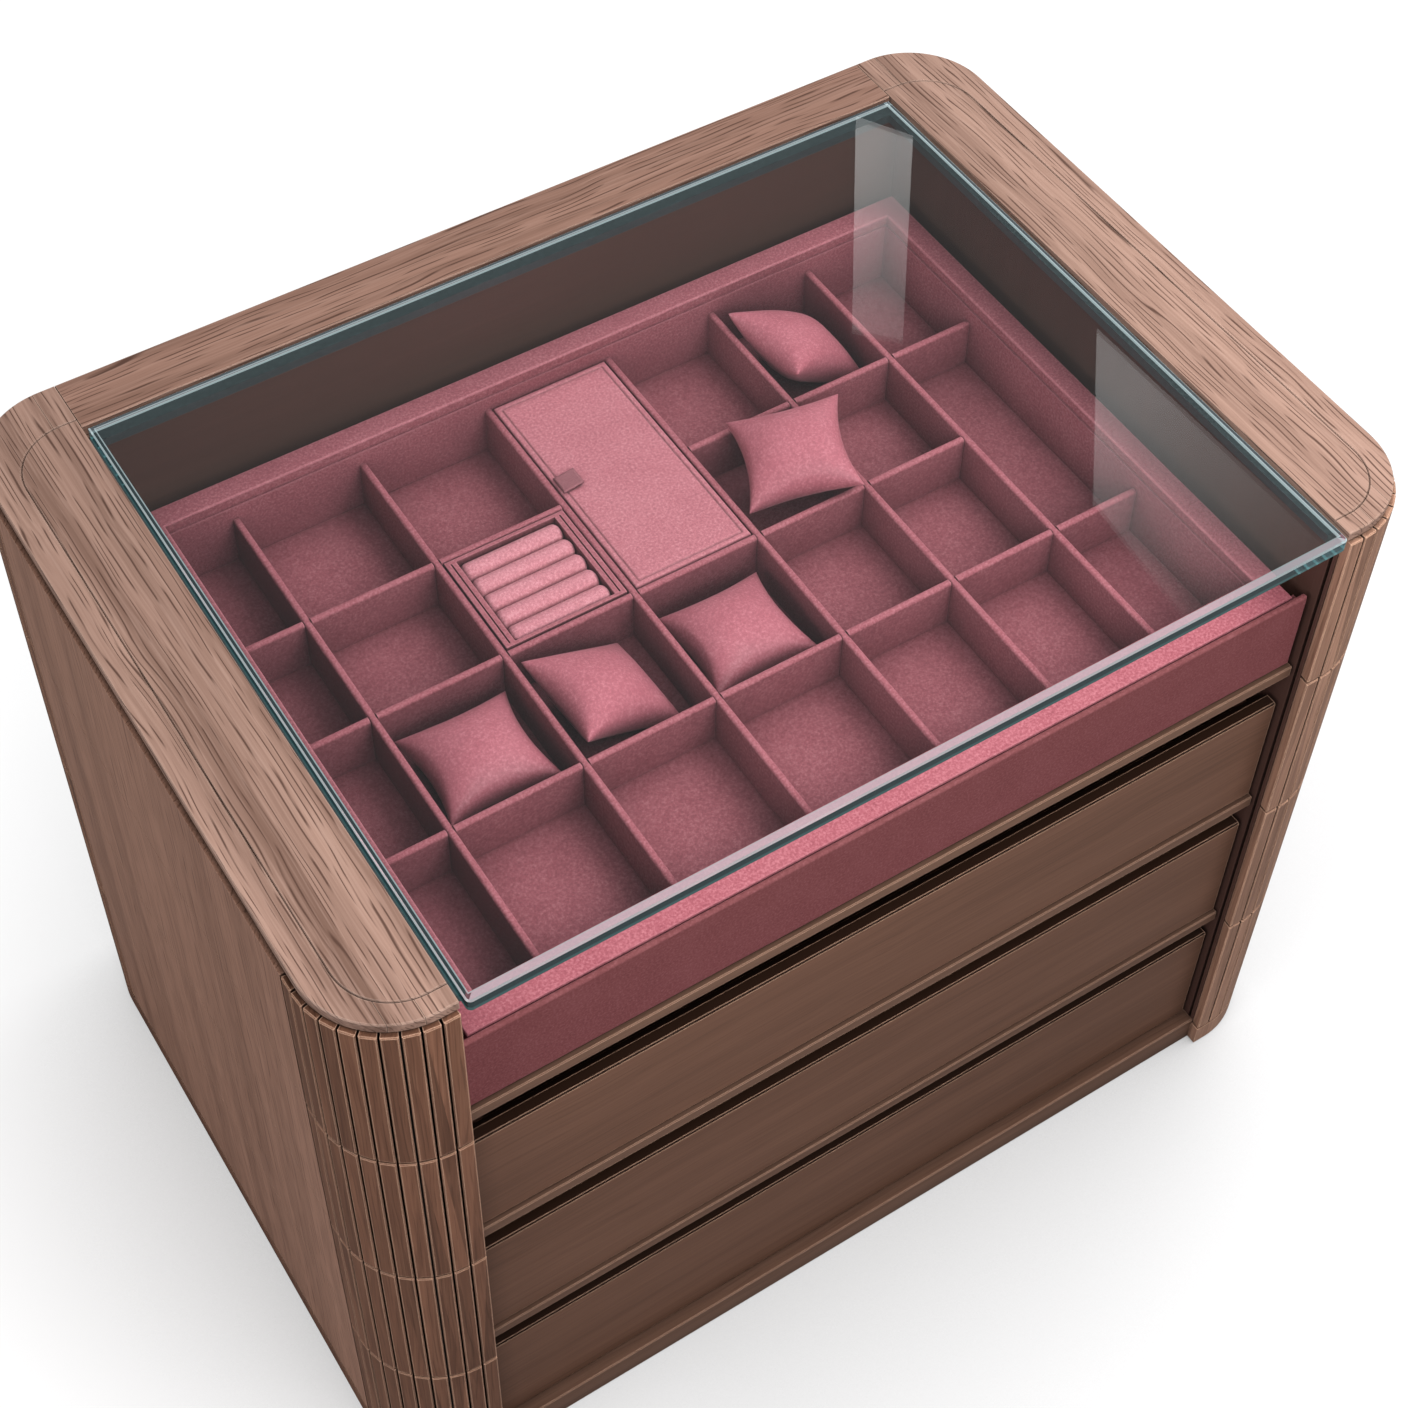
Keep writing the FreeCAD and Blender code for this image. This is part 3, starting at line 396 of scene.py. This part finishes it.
# Painted light: the rolls are a lighter copy of the rose suede, as raised surfaces catch more light
litRollSuedeLook = {"base": tone(206, 128, 139), "deep": tone(152, 90, 100), "pale": tone(240, 178, 186),
                 "shade": tone(70, 30, 36), "hollowShading": [(0.004, 0.6)],
                 "grain": 0.7, "edge": 0.0, "bump": 0.4, "rough": 0.8, "sheen": 0.2, "gloss": 0.2}
# Satin cover of the cushions: glossier than the suede, and a lighter copy of it whose extra lightness is
# painted light; its hollows are painted shade
satinLook = {"base": tone(184, 100, 113), "deep": tone(138, 72, 84), "pale": tone(232, 160, 170),
             "shade": tone(60, 22, 30), "hollowShading": [(0.05, 0.6), (0.004, 0.4)],
             "grain": 0.6, "edge": 0.0, "bump": 0.2, "rough": 0.45, "sheen": 0.25, "gloss": 0.45}
tabLook = {"base": tone(150, 88, 96), "deep": tone(104, 56, 64), "pale": tone(190, 126, 134),
           "shade": tone(50, 20, 26), "hollowShading": [(0.003, 0.8)],
           "grain": 0.5, "edge": 0.5, "bump": 0.3, "rough": 0.6, "sheen": 0.1, "gloss": 0.3}
suede = makeSuede("roseSuede", suedeLook)
litCoverSuede = makeSuede("roseCoverSuedeLit", litCoverLook)
shadedBoardSuede = makeSuede("roseBoardSuedeShaded", shadedBoardLook)
litRollSuede = makeSuede("roseRollSuedeLit", litRollSuedeLook)
satin = makeSuede("roseSatinSuede", satinLook)
tabSuede = makeSuede("roseTabSuede", tabLook)


glassLook = {"clear": tone(250, 253, 252), "edgeTint": tone(60, 130, 134), "innerTint": tone(140, 148, 148),
             "arrisTint": tone(200, 222, 222), "bevelTint": tone(120, 135, 138),
             "outerGlow": tone(8, 36, 40), "outerGlowLow": tone(38, 74, 75), "innerGlow": tone(100, 94, 98),
             "arrisGlow": tone(146, 160, 162), "bevelFrontGlow": tone(160, 154, 160),
             "bevelSideGlow": tone(28, 38, 40), "shadow": (0.93, 0.96, 0.955, 1),
             "frontBevel": 0.0068, "sideBevel": 0.0042, "line": 0.0009, "flat": 0.97,
             "edge": [(0.15, 1.0), (0.3, 0.0)], "arris": [(0.3, 0.0), (0.5, 1.0), (0.85, 1.0), (0.95, 0.0)],
             "lower": [(0.30, 1.0), (0.42, 0.0)], "arrisRoughness": 0.25, "refraction": 1.5}


# Marks the polished strip of the top face along the glass edges, its front run and the fine line that ends it
def bevelMasks(tree, look, up, spot, backfacing):
    low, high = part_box("glass_top")
    axes = addNode(tree, "ShaderNodeSeparateXYZ", {0: spot}).outputs
    fromSide = calc(tree, "SUBTRACT", high.x, calc(tree, "ABSOLUTE", axes[0]))
    fromFront = calc(tree, "SUBTRACT", axes[1], low.y)
    fromBack = calc(tree, "SUBTRACT", high.y, axes[1])
    facing = calc(tree, "SUBTRACT", 1.0, backfacing)
    top = calc(tree, "MULTIPLY", calc(tree, "GREATER_THAN", up, look["flat"]), facing)
    top = calc(tree, "MULTIPLY", top, calc(tree, "GREATER_THAN", axes[2], (low.z + high.z) / 2))

    def within(distance, reach):
        return calc(tree, "LESS_THAN", distance, reach)

    beside = calc(tree, "MINIMUM", fromSide, fromBack)
    front = calc(tree, "MULTIPLY", within(fromFront, look["frontBevel"]), within(fromFront, fromSide))
    strip = calc(tree, "MAXIMUM", within(beside, look["sideBevel"]), within(fromFront, look["frontBevel"]))
    inner = calc(tree, "MAXIMUM", within(beside, look["sideBevel"] - look["line"]),
                 within(fromFront, look["frontBevel"] - look["line"]))
    line = calc(tree, "SUBTRACT", strip, inner)
    return [calc(tree, "MULTIPLY", mask, top) for mask in (strip, front, line)]


# Clear plate: dark teal on the polished edges from outside, milky from inside, pale on the ground arrises.
# The glows are painted light and reflection: the edges glow teal, brighter low down, the arrises pale, and a
# painted bevel strip along the top glows whitish at the front and dark at the sides
def makeGlass(look):
    material, tree, shader = newMaterial("clearGlass")
    geometry = addNode(tree, "ShaderNodeNewGeometry")
    normal = addNode(tree, "ShaderNodeSeparateXYZ", {0: geometry.outputs["Normal"]})
    up = calc(tree, "ABSOLUTE", normal.outputs[2])
    edge = ramp(tree, up, look["edge"])
    arris = ramp(tree, up, look["arris"])
    height = addNode(tree, "ShaderNodeSeparateXYZ", {0: coordinates(tree)}).outputs[2]
    low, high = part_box("glass_top")
    level = addNode(tree, "ShaderNodeMapRange", {0: height, 1: low.z, 2: high.z})
    lower = ramp(tree, level.outputs[0], look["lower"])
    edgeTint = mix(tree, geometry.outputs["Backfacing"], look["edgeTint"], look["innerTint"])
    color = mix(tree, edge, look["clear"], edgeTint)
    color = mix(tree, arris, color, look["arrisTint"])
    strip, front, line = bevelMasks(tree, look, up, coordinates(tree), geometry.outputs["Backfacing"])
    color = mix(tree, strip, color, look["bevelTint"])
    # Painted light and reflection, given as emission
    outer = mix(tree, lower, look["outerGlow"], look["outerGlowLow"])
    glow = mix(tree, geometry.outputs["Backfacing"], outer, look["innerGlow"])
    glow = mix(tree, edge, grey(0), glow)
    glow = mix(tree, arris, glow, look["arrisGlow"])
    glow = mix(tree, strip, glow, mix(tree, front, look["bevelSideGlow"], look["bevelFrontGlow"]))
    glow = mix(tree, line, glow, look["arrisGlow"])
    tree.links.new(color, shader.inputs["Base Color"])
    tree.links.new(calc(tree, "MULTIPLY", arris, look["arrisRoughness"]), shader.inputs["Roughness"])
    tree.links.new(glow, shader.inputs["Emission Color"])
    shader.inputs["Emission Strength"].default_value = 1.0
    shader.inputs["Transmission Weight"].default_value = 1.0
    shader.inputs["IOR"].default_value = look["refraction"]
    shader.inputs["Metallic"].default_value = 0.0
    clear = addNode(tree, "ShaderNodeBsdfTransparent", {"Color": look["shadow"]})
    path = addNode(tree, "ShaderNodeLightPath")
    through = calc(tree, "MAXIMUM", path.outputs["Is Shadow Ray"], path.outputs["Is Diffuse Ray"])
    blend = addNode(tree, "ShaderNodeMixShader", {0: through, 1: shader.outputs[0], 2: clear.outputs[0]})
    output = next(n for n in tree.nodes if n.type == "OUTPUT_MATERIAL")
    tree.links.new(blend.outputs[0], output.inputs["Surface"])
    return material


plainRelief = {"detail": 4.0, "roughMarks": 0.15, "bump": 0.2, "height": 0.0003}
steelLook = {"dark": tone(150, 152, 156), "pale": tone(205, 207, 210), "metal": 1.0, "rough": 0.28,
             "scale": 60.0, "stretch": (8, 0.6, 8)}
feltLook = {"dark": tone(52, 48, 46), "pale": tone(84, 78, 74), "metal": 0.0, "rough": 0.85,
            "scale": 900.0, "stretch": (1, 1, 1)}
sealLook = {"dark": tone(40, 46, 48), "pale": tone(66, 76, 78), "metal": 0.0, "rough": 0.4,
            "scale": 300.0, "stretch": (1, 1, 1)}


# Steel, felt and seal: a mottled tone with fine scratches or fluff
def makePlain(name, look):
    material, tree, shader = newMaterial(name)
    stretched = addNode(tree, "ShaderNodeMapping", {"Vector": coordinates(tree), "Scale": look["stretch"]})
    marks = addNode(tree, "ShaderNodeTexNoise", {
        "Vector": stretched.outputs[0], "Scale": look["scale"], "Detail": plainRelief["detail"]}).outputs[0]
    rough = calc(tree, "ADD", look["rough"], calc(tree, "MULTIPLY", marks, plainRelief["roughMarks"]))
    bump = addNode(tree, "ShaderNodeBump", {
        "Strength": plainRelief["bump"], "Distance": plainRelief["height"], "Height": marks})
    tree.links.new(mix(tree, marks, look["dark"], look["pale"]), shader.inputs["Base Color"])
    tree.links.new(rough, shader.inputs["Roughness"])
    tree.links.new(bump.outputs[0], shader.inputs["Normal"])
    shader.inputs["Metallic"].default_value = look["metal"]
    return material


glass = makeGlass(glassLook)
steel = makePlain("runnerSteel", steelLook)
felt = makePlain("glideFelt", feltLook)
seal = makePlain("greySeal", sealLook)

finish = {"glass_top": glass, "glass_ledges": seal, "levelling_glides": felt, "fixed_runners": steel,
          "back_rail": woods["backAcross"], "back_panel": woods["rail"], "plinths": woods["rail"],
          "shelf_rails": woods["rail"], "inner_back_panel": woods["innerAcross"],
          "bottom_board": woods["innerAcross"], "divider_shelves": woods["innerAcross"],
          "display_box": woods["innerAcross"], "display_drawer_slides": steel, "display_front": shadedBoardSuede}
for side in ("left", "right"):
    finish.update({side + "_base": woods[side + "Slat"], side + "_corner_posts": woods["innerUp"],
                   side + "_slats": woods[side + "Slat"], side + "_side_panel": woods["flank"],
                   side + "_lining": woods["innerUp"], side + "_subtop": woods["innerDeep"],
                   side + "_cap_field": woods["topDeep"], side + "_cap_band": woods["topDeep"]})
for number in "234":
    drawer = "drawer_" + number
    finish.update({drawer + "_front": woods["front"], drawer + "_box": woods["innerAcross"],
                   drawer + "_floor": woods["innerDeep"], drawer + "_slides": steel})
for name, node in nodes.items():
    node.data.materials.clear()
    node.data.materials.append(finish.get(name, suede))
print("materials done")


# Soft pieces

def newPiece(name, mesh, material, body):
    piece = bpy.data.objects.new(name, mesh)
    bpy.context.scene.collection.objects.link(piece)
    mesh.materials.append(material)
    for face in mesh.polygons:
        face.use_smooth = True
    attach(piece, body)
    return piece


pillow = {"length": 0.095, "width": 0.091, "thick": 0.049, "cells": 48, "draw": 0.15, "crown": 0.55,
          "spread": 0.35, "frames": 14, "quality": 6, "pressure": 2.2, "stiffness": 30, "bending": 1.5,
          "mass": 0.2, "fullness": 0.88, "waveScale": 38, "wave": 0.04, "seedStep": (3.7, 1.3, 2.9),
          "rest": 0.0002, "fill": 0.75}


# Point of a stuffed cushion's cover: drawn-in sides, long corners and a round crown
def pillowPoint(u, v, face):
    x = pillow["length"] / 2 * u * (1 - pillow["draw"] * (1 - v * v))
    y = pillow["width"] / 2 * v * (1 - pillow["draw"] * (1 - u * u))
    crown = max(0.0, (1 - u * u) * (1 - v * v))
    return (x, y, face * 0.5 * pillow["thick"] * crown ** pillow["crown"])


# Two panels sewn round their edge
def pillowShell():
    cells = pillow["cells"]
    even = [2 * k / cells - 1 for k in range(cells + 1)]
    steps = [t + pillow["spread"] * (math.sin(math.pi / 2 * t) - t) for t in even]
    shape = bmesh.new()
    grids = []
    for face in (1, -1):
        grid = []
        for i, u in enumerate(steps):
            row = []
            for j, v in enumerate(steps):
                onSeam = i in (0, cells) or j in (0, cells)
                shared = face < 0 and onSeam
                row.append(grids[0][i][j] if shared else shape.verts.new(pillowPoint(u, v, face)))
            grid.append(row)
        grids.append(grid)
        for i in range(cells):
            for j in range(cells):
                corners = [grid[i][j], grid[i + 1][j], grid[i + 1][j + 1], grid[i][j + 1]]
                shape.faces.new(corners[::face])
    mesh = bpy.data.meshes.new("pillowShape")
    shape.to_mesh(mesh)
    shape.free()
    return mesh


# The cloth takes its puckers from the pressure inside
def inflate(piece):
    cloth = piece.modifiers.new("cloth", "CLOTH")
    cloth.settings.quality = pillow["quality"]
    cloth.settings.mass = pillow["mass"]
    for name in ("tension_stiffness", "compression_stiffness", "shear_stiffness"):
        setattr(cloth.settings, name, pillow["stiffness"])
    cloth.settings.bending_stiffness = pillow["bending"]
    cloth.settings.use_pressure = True
    cloth.settings.uniform_pressure_force = pillow["pressure"]
    cloth.settings.effector_weights.gravity = 0.0
    cloth.point_cache.frame_start = 1
    cloth.point_cache.frame_end = pillow["frames"]
    for step in range(1, pillow["frames"] + 1):
        bpy.context.scene.frame_set(step)


# Scales the filled cover to its size and rounds its crown out
def sized(mesh):
    wanted = (pillow["length"], pillow["width"], pillow["thick"])
    for axis in range(3):
        values = [vertex.co[axis] for vertex in mesh.vertices]
        middle = (max(values) + min(values)) / 2
        scale = wanted[axis] / (max(values) - min(values))
        for vertex in mesh.vertices:
            vertex.co[axis] = (vertex.co[axis] - middle) * scale
    half = pillow["thick"] / 2
    for vertex in mesh.vertices:
        share = min(1.0, abs(vertex.co.z) / half)
        vertex.co.z = math.copysign(half * share ** pillow["fullness"], vertex.co.z)


def pillowMesh():
    piece = bpy.data.objects.new("pillowShape", pillowShell())
    bpy.context.scene.collection.objects.link(piece)
    inflate(piece)
    mesh = bpy.data.meshes.new_from_object(piece.evaluated_get(bpy.context.evaluated_depsgraph_get()))
    bpy.data.objects.remove(piece)
    bpy.context.scene.frame_set(1)
    sized(mesh)
    return mesh


cushionTurns = {
    "a": {"turn": -1, "tipX": 0, "tipY": 0},
    "b": {"turn": 3, "tipX": 0, "tipY": 24},
    "c": {"turn": 0, "tipX": 0, "tipY": 0},
    "d": {"turn": -22, "tipX": 8, "tipY": -11},
    "e": {"turn": 6, "tipX": 0, "tipY": 34},
}


# Each cushion has its own waves and lies flat where it rests on the drawer's floor
def makeCushions():
    base = pillowMesh()
    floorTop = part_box("display_floor")[1].z + pillow["rest"]
    for letter, spot in cushionTurns.items():
        mesh = base.copy()
        mesh.name = "cushionMesh_" + letter
        step, *place = pillow["seedStep"]
        offset = Vector((ord(letter) * step, *place))
        for vertex in mesh.vertices:
            vertex.co.z *= 1 + pillow["wave"] * noise.noise(vertex.co * pillow["waveScale"] + offset)
        low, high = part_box("cushion_" + letter)
        turn = (Matrix.Rotation(math.radians(spot["turn"]), 4, "Z")
                @ Matrix.Rotation(math.radians(spot["tipY"]), 4, "Y")
                @ Matrix.Rotation(math.radians(spot["tipX"]), 4, "X"))
        mesh.transform(Matrix.Translation((low + high) / 2) @ turn)
        for vertex in mesh.vertices:
            vertex.co.z = max(vertex.co.z, floorTop)
        piece = newPiece("pillow_" + letter, mesh, satin, "cushion_" + letter)
        smooth = piece.modifiers.new("smooth", "SUBSURF")
        smooth.levels = 1
        smooth.render_levels = 1
        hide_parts("cushion_" + letter)


lidLook = {"round": 0.002, "rimStep": 0.3, "inset": 0.0052, "line": 0.0011, "depth": 0.0016,
           "cellsX": 24, "cellsY": 48, "soften": 0.0007, "softenSteps": 2, "fill": 0.9}


# Stations along one side of the lid: close at the rounded rim and at the stitched line
def lidStations(start, end, count):
    inset = lidLook["inset"]
    line = lidLook["line"]
    rim = lidLook["round"]
    near = [0, rim * lidLook["rimStep"], rim, inset - line, inset, inset + line]
    first = [start + step for step in near]
    last = [end - step for step in reversed(near)]
    length = last[0] - first[-1]
    return first + [first[-1] + length * k / count for k in range(1, count)] + last


# Height of the lid's top: rounded rim, pressed line, flat field
def lidTop(x, y, low, high):
    edge = lidLook["round"]
    fromX = min(x - low.x, high.x - x)
    fromY = min(y - low.y, high.y - y)
    nearest = min(fromX, fromY)
    if nearest < edge:
        return high.z - edge + math.sqrt(max(0.0, edge * edge - (edge - nearest) ** 2))
    onLine = abs(nearest - lidLook["inset"]) < lidLook["line"] / 2
    return high.z - (lidLook["depth"] if onLine else 0.0)


def makeLid():
    low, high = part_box("display_lid")
    xs = lidStations(low.x, high.x, lidLook["cellsX"])
    ys = lidStations(low.y, high.y, lidLook["cellsY"])
    shape = bmesh.new()
    top = [[shape.verts.new((x, y, lidTop(x, y, low, high))) for y in ys] for x in xs]
    for i in range(len(xs) - 1):
        for j in range(len(ys) - 1):
            shape.faces.new((top[i][j], top[i + 1][j], top[i + 1][j + 1], top[i][j + 1]))
    rim = [row[0] for row in top] + top[-1][1:] + [row[-1] for row in reversed(top[:-1])]
    rim += list(reversed(top[0][1:-1]))
    under = [shape.verts.new((v.co.x, v.co.y, low.z)) for v in rim]
    for k in range(len(rim)):
        shape.faces.new((rim[k], rim[k - 1], under[k - 1], under[k]))
    shape.faces.new(under)
    bmesh.ops.recalc_face_normals(shape, faces=shape.faces)
    mesh = bpy.data.meshes.new("lidMesh")
    shape.to_mesh(mesh)
    shape.free()
    lid = newPiece("lid_board", mesh, litCoverSuede, "padded_lid")
    soften = lid.modifiers.new("soften", "BEVEL")
    soften.width = lidLook["soften"]
    soften.segments = lidLook["softenSteps"]
    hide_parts("display_lid")


rollLook = {"count": 5, "gap": 0.0001, "dome": 0.0055, "drawn": 0.75, "least": 0.25, "stations": 30,
            "around": 30, "wave": 0.012, "waveScale": 60, "seedStep": 3.1, "seedPlace": 0.4, "fill": 0.9}


# Padded roll with domed ends, flat where it rests
def rollMesh(number, low, high, middle, radius):
    shape = bmesh.new()
    rings = []
    for i in range(rollLook["stations"] + 1):
        x = low.x + (high.x - low.x) * (1 - math.cos(math.pi * i / rollLook["stations"])) / 2
        depth = max(0.0, 1 - min(x - low.x, high.x - x) / rollLook["dome"])
        scale = math.sqrt(max(rollLook["least"], 1 - rollLook["drawn"] * depth ** 2))
        place = Vector((x * rollLook["waveScale"], number * rollLook["seedStep"], rollLook["seedPlace"]))
        wave = 1 + rollLook["wave"] * noise.noise(place)
        ring = []
        for j in range(rollLook["around"]):
            angle = 2 * math.pi * j / rollLook["around"]
            y = middle.y + radius * math.sin(angle) * scale
            z = middle.z + radius * math.cos(angle) * scale * wave
            ring.append(shape.verts.new((x, y, max(z, low.z))))
        rings.append(ring)
    for ring, following in zip(rings, rings[1:]):
        for j in range(rollLook["around"]):
            shape.faces.new((ring[j - 1], ring[j], following[j], following[j - 1]))
    shape.faces.new(rings[0])
    shape.faces.new(rings[-1])
    bmesh.ops.recalc_face_normals(shape, faces=shape.faces)
    mesh = bpy.data.meshes.new("rollMesh_" + str(number))
    shape.to_mesh(mesh)
    shape.free()
    return mesh


def makeRolls():
    low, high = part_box("ring_rolls")
    pitch = (high.y - low.y + rollLook["gap"]) / rollLook["count"]
    radius = (pitch - rollLook["gap"]) / 2
    for k in range(rollLook["count"]):
        middle = Vector((0, low.y + radius + k * pitch, high.z - radius))
        mesh = rollMesh(k + 1, low, high, middle, radius)
        roll = newPiece("ring_roll_" + str(k + 1), mesh, litRollSuede, "ring_tray")
    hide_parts("ring_rolls")


tabForm = {"across": 26, "along": 12, "thick": 0.0022, "rise": 1.4, "rib": 0.00035, "ribs": 11}


# Ribbed ribbon tab, sewn down at one end and rising to its folded one
def makeTab():
    low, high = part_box("lid_tab")
    thick = tabForm["thick"]
    shape = bmesh.new()
    rows = []
    for i in range(tabForm["along"] + 1):
        t = i / tabForm["along"]
        x = low.x + (high.x - low.x) * t
        z = low.z + thick / 2 + (high.z - low.z - thick - tabForm["rib"]) * t ** tabForm["rise"]
        row = []
        for j in range(tabForm["across"] * 2 + 1):
            s = j / tabForm["across"] / 2
            rib = tabForm["rib"] * math.sin(2 * math.pi * tabForm["ribs"] * s)
            row.append(shape.verts.new((x, low.y + (high.y - low.y) * s, z + rib)))
        rows.append(row)
    for row, following in zip(rows, rows[1:]):
        for j in range(len(row) - 1):
            shape.faces.new((row[j], following[j], following[j + 1], row[j + 1]))
    mesh = bpy.data.meshes.new("tabMesh")
    shape.to_mesh(mesh)
    shape.free()
    tab = newPiece("pull_tab", mesh, tabSuede, "padded_lid")
    solid = tab.modifiers.new("cloth_thickness", "SOLIDIFY")
    solid.thickness = thick
    solid.offset = 0
    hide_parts("lid_tab")


makeCushions()
makeLid()
makeRolls()
makeTab()
print("soft pieces done")


# Stage, light and camera

def addObject(name, data):
    thing = bpy.data.objects.new(name, data)
    bpy.context.scene.collection.objects.link(thing)
    return thing


# Soft box that glass, satin and wood mirror only where it gleams
def areaLight(name, look):
    data = bpy.data.lights.new(name, "AREA")
    data.shape = "SQUARE"
    data.size = look["size"]
    data.energy = look["energy"]
    lamp = addObject(name, data)
    lamp.location = look["position"]
    direction = Vector(look["aim"]) - Vector(look["position"])
    lamp.rotation_euler = direction.to_track_quat("-Z", "Y").to_euler()
    lamp.visible_glossy = look["gleams"]
    lamp.visible_transmission = False


lights = {
    "key": {"position": (1.5, 0.2, 2.9), "aim": (0, 0, 0.4), "size": 1.8, "energy": 60, "gleams": False},
    "overhead": {"position": (0.1, -1.1, 1.75), "aim": (0, 0, 0.6), "size": 1.2, "energy": 26,
                 "gleams": False},
    "left": {"position": (-3.0, -0.7, 1.6), "aim": (0, 0, 0.4), "size": 1.8, "energy": 42, "gleams": True},
}
floorLook = {"half": 30, "color": (0.3, 0.3, 0.302, 1), "rough": 0.9, "gloss": 0.1,
             "shade": (0.12, 0.11, 0.105, 1), "reach": 0.6, "contactShadow": 1.0, "glow": 0.79,
             "leftward": (-1, -0.1, 0), "leftLift": [(0.2, 0.0), (1.0, 0.31)],
             "perMetre": 0.25, "farLift": [(0.3, 0.0), (0.8, 0.25)]}


# Pale floor with a painted shadow that darkens it near the cabinet and painted light that lifts it on its
# left and far away; it glows for the camera, also through the glass
def makeFloor():
    half = floorLook["half"]
    corners = [(-half, -half, 0), (half, -half, 0), (half, half, 0), (-half, half, 0)]
    mesh = bpy.data.meshes.new("floorMesh")
    mesh.from_pydata(corners, [], [(0, 1, 2, 3)])
    material, tree, shader = newMaterial("studioFloor")
    shader.inputs["Base Color"].default_value = floorLook["color"]
    shader.inputs["Roughness"].default_value = floorLook["rough"]
    shader.inputs["Specular IOR Level"].default_value = floorLook["gloss"]
    # Painted shadow near the cabinet
    shaded = useGroup(tree, hollowShade, {
        "Color": grey(1), "Shade": floorLook["shade"], "Depth": floorLook["reach"], "Open": 1.0,
        "Strength": floorLook["contactShadow"]})
    tree.links.new(shaded["Color"], shader.inputs["Emission Color"])
    place = coordinates(tree)
    leftward = addNode(tree, "ShaderNodeVectorMath", {0: place, 1: floorLook["leftward"]},
                       operation="DOT_PRODUCT").outputs["Value"]
    away = addNode(tree, "ShaderNodeVectorMath", {0: place}, operation="LENGTH").outputs["Value"]
    away = calc(tree, "MULTIPLY", away, floorLook["perMetre"])
    lift = calc(tree, "ADD", ramp(tree, leftward, floorLook["leftLift"]),
                ramp(tree, away, floorLook["farLift"]))
    path = addNode(tree, "ShaderNodeLightPath")
    seen = calc(tree, "MAXIMUM", path.outputs["Is Camera Ray"], path.outputs["Is Transmission Ray"])
    glow = calc(tree, "MULTIPLY", seen, calc(tree, "ADD", lift, floorLook["glow"]))
    tree.links.new(glow, shader.inputs["Emission Strength"])
    mesh.materials.append(material)
    addObject("floor", mesh)


cards = {
    "backCard": {"corners": [(2.02, 2.45), (2.09, 2.33), (1.70, 1.82), (1.63, 1.90)],
                 "height": 3.0, "glow": 2.0, "axis": 1, "fade": [(0.0, 0.35), (0.8, 1.0)]},
    "sideCard": {"corners": [(2.06, 1.64), (2.07, 0.94), (1.70, 0.74), (1.76, 1.27)],
                 "height": 3.0, "glow": 1.4, "axis": 1, "fade": [(0.0, 0.0), (0.8, 1.0)]},
}


# Pale card overhead, seen only in what mirrors it
def makeCard(name, look):
    mesh = bpy.data.meshes.new(name + "Mesh")
    mesh.from_pydata([(x, y, look["height"]) for x, y in look["corners"]], [], [(0, 1, 2, 3)])
    material, tree, shader = newMaterial(name)
    spot = addNode(tree, "ShaderNodeTexCoord").outputs["Generated"]
    along = addNode(tree, "ShaderNodeSeparateXYZ", {0: spot}).outputs[look["axis"]]
    shader.inputs["Base Color"].default_value = grey(0)
    shader.inputs["Emission Color"].default_value = grey(1)
    glow = calc(tree, "MULTIPLY", ramp(tree, along, look["fade"]), look["glow"])
    tree.links.new(glow, shader.inputs["Emission Strength"])
    mesh.materials.append(material)
    card = addObject(name, mesh)
    card.visible_camera = False
    card.visible_diffuse = False
    card.visible_shadow = False


worldLook = {"color": (0.95, 0.97, 1, 1), "strength": 0.25, "seen": 1.0}


# White for the camera, also straight through the glass, and a dim cool light for all else
def makeWorld():
    world = bpy.data.worlds.new("studio")
    bpy.context.scene.world = world
    world.use_nodes = True
    tree = world.node_tree
    background = next(n for n in tree.nodes if n.type == "BACKGROUND")
    path = addNode(tree, "ShaderNodeLightPath")
    straight = calc(tree, "LESS_THAN", path.outputs["Glossy Depth"], 0.5)  # no mirroring on the way
    through = calc(tree, "MULTIPLY", path.outputs["Is Transmission Ray"], straight)
    seen = calc(tree, "MAXIMUM", path.outputs["Is Camera Ray"], through)
    strength = addNode(tree, "ShaderNodeMapRange", {
        0: seen, 3: worldLook["strength"], 4: worldLook["seen"]})
    tree.links.new(mix(tree, seen, worldLook["color"], grey(1)), background.inputs["Color"])
    tree.links.new(strength.outputs[0], background.inputs["Strength"])


cameraLook = {"sensor": 36, "lens": 65.76, "shift": -0.1, "near": 0.05,
              "location": (-0.7108, -1.0910, 2.1269), "degrees": (40.5493, -0.9736, -32.5224)}


def makeCamera():
    data = bpy.data.cameras.new("photoCamera")
    data.sensor_width = cameraLook["sensor"]
    data.lens = cameraLook["lens"]
    data.shift_y = cameraLook["shift"]
    data.clip_start = cameraLook["near"]
    camera = addObject("photoCamera", data)
    camera.location = cameraLook["location"]
    camera.rotation_euler = [math.radians(angle) for angle in cameraLook["degrees"]]
    bpy.context.scene.camera = camera


makeFloor()
for name, look in cards.items():
    makeCard(name, look)
for name, look in lights.items():
    areaLight(name, look)
makeWorld()
makeCamera()
bpy.context.scene.view_settings.view_transform = "Standard"
print("stage done")
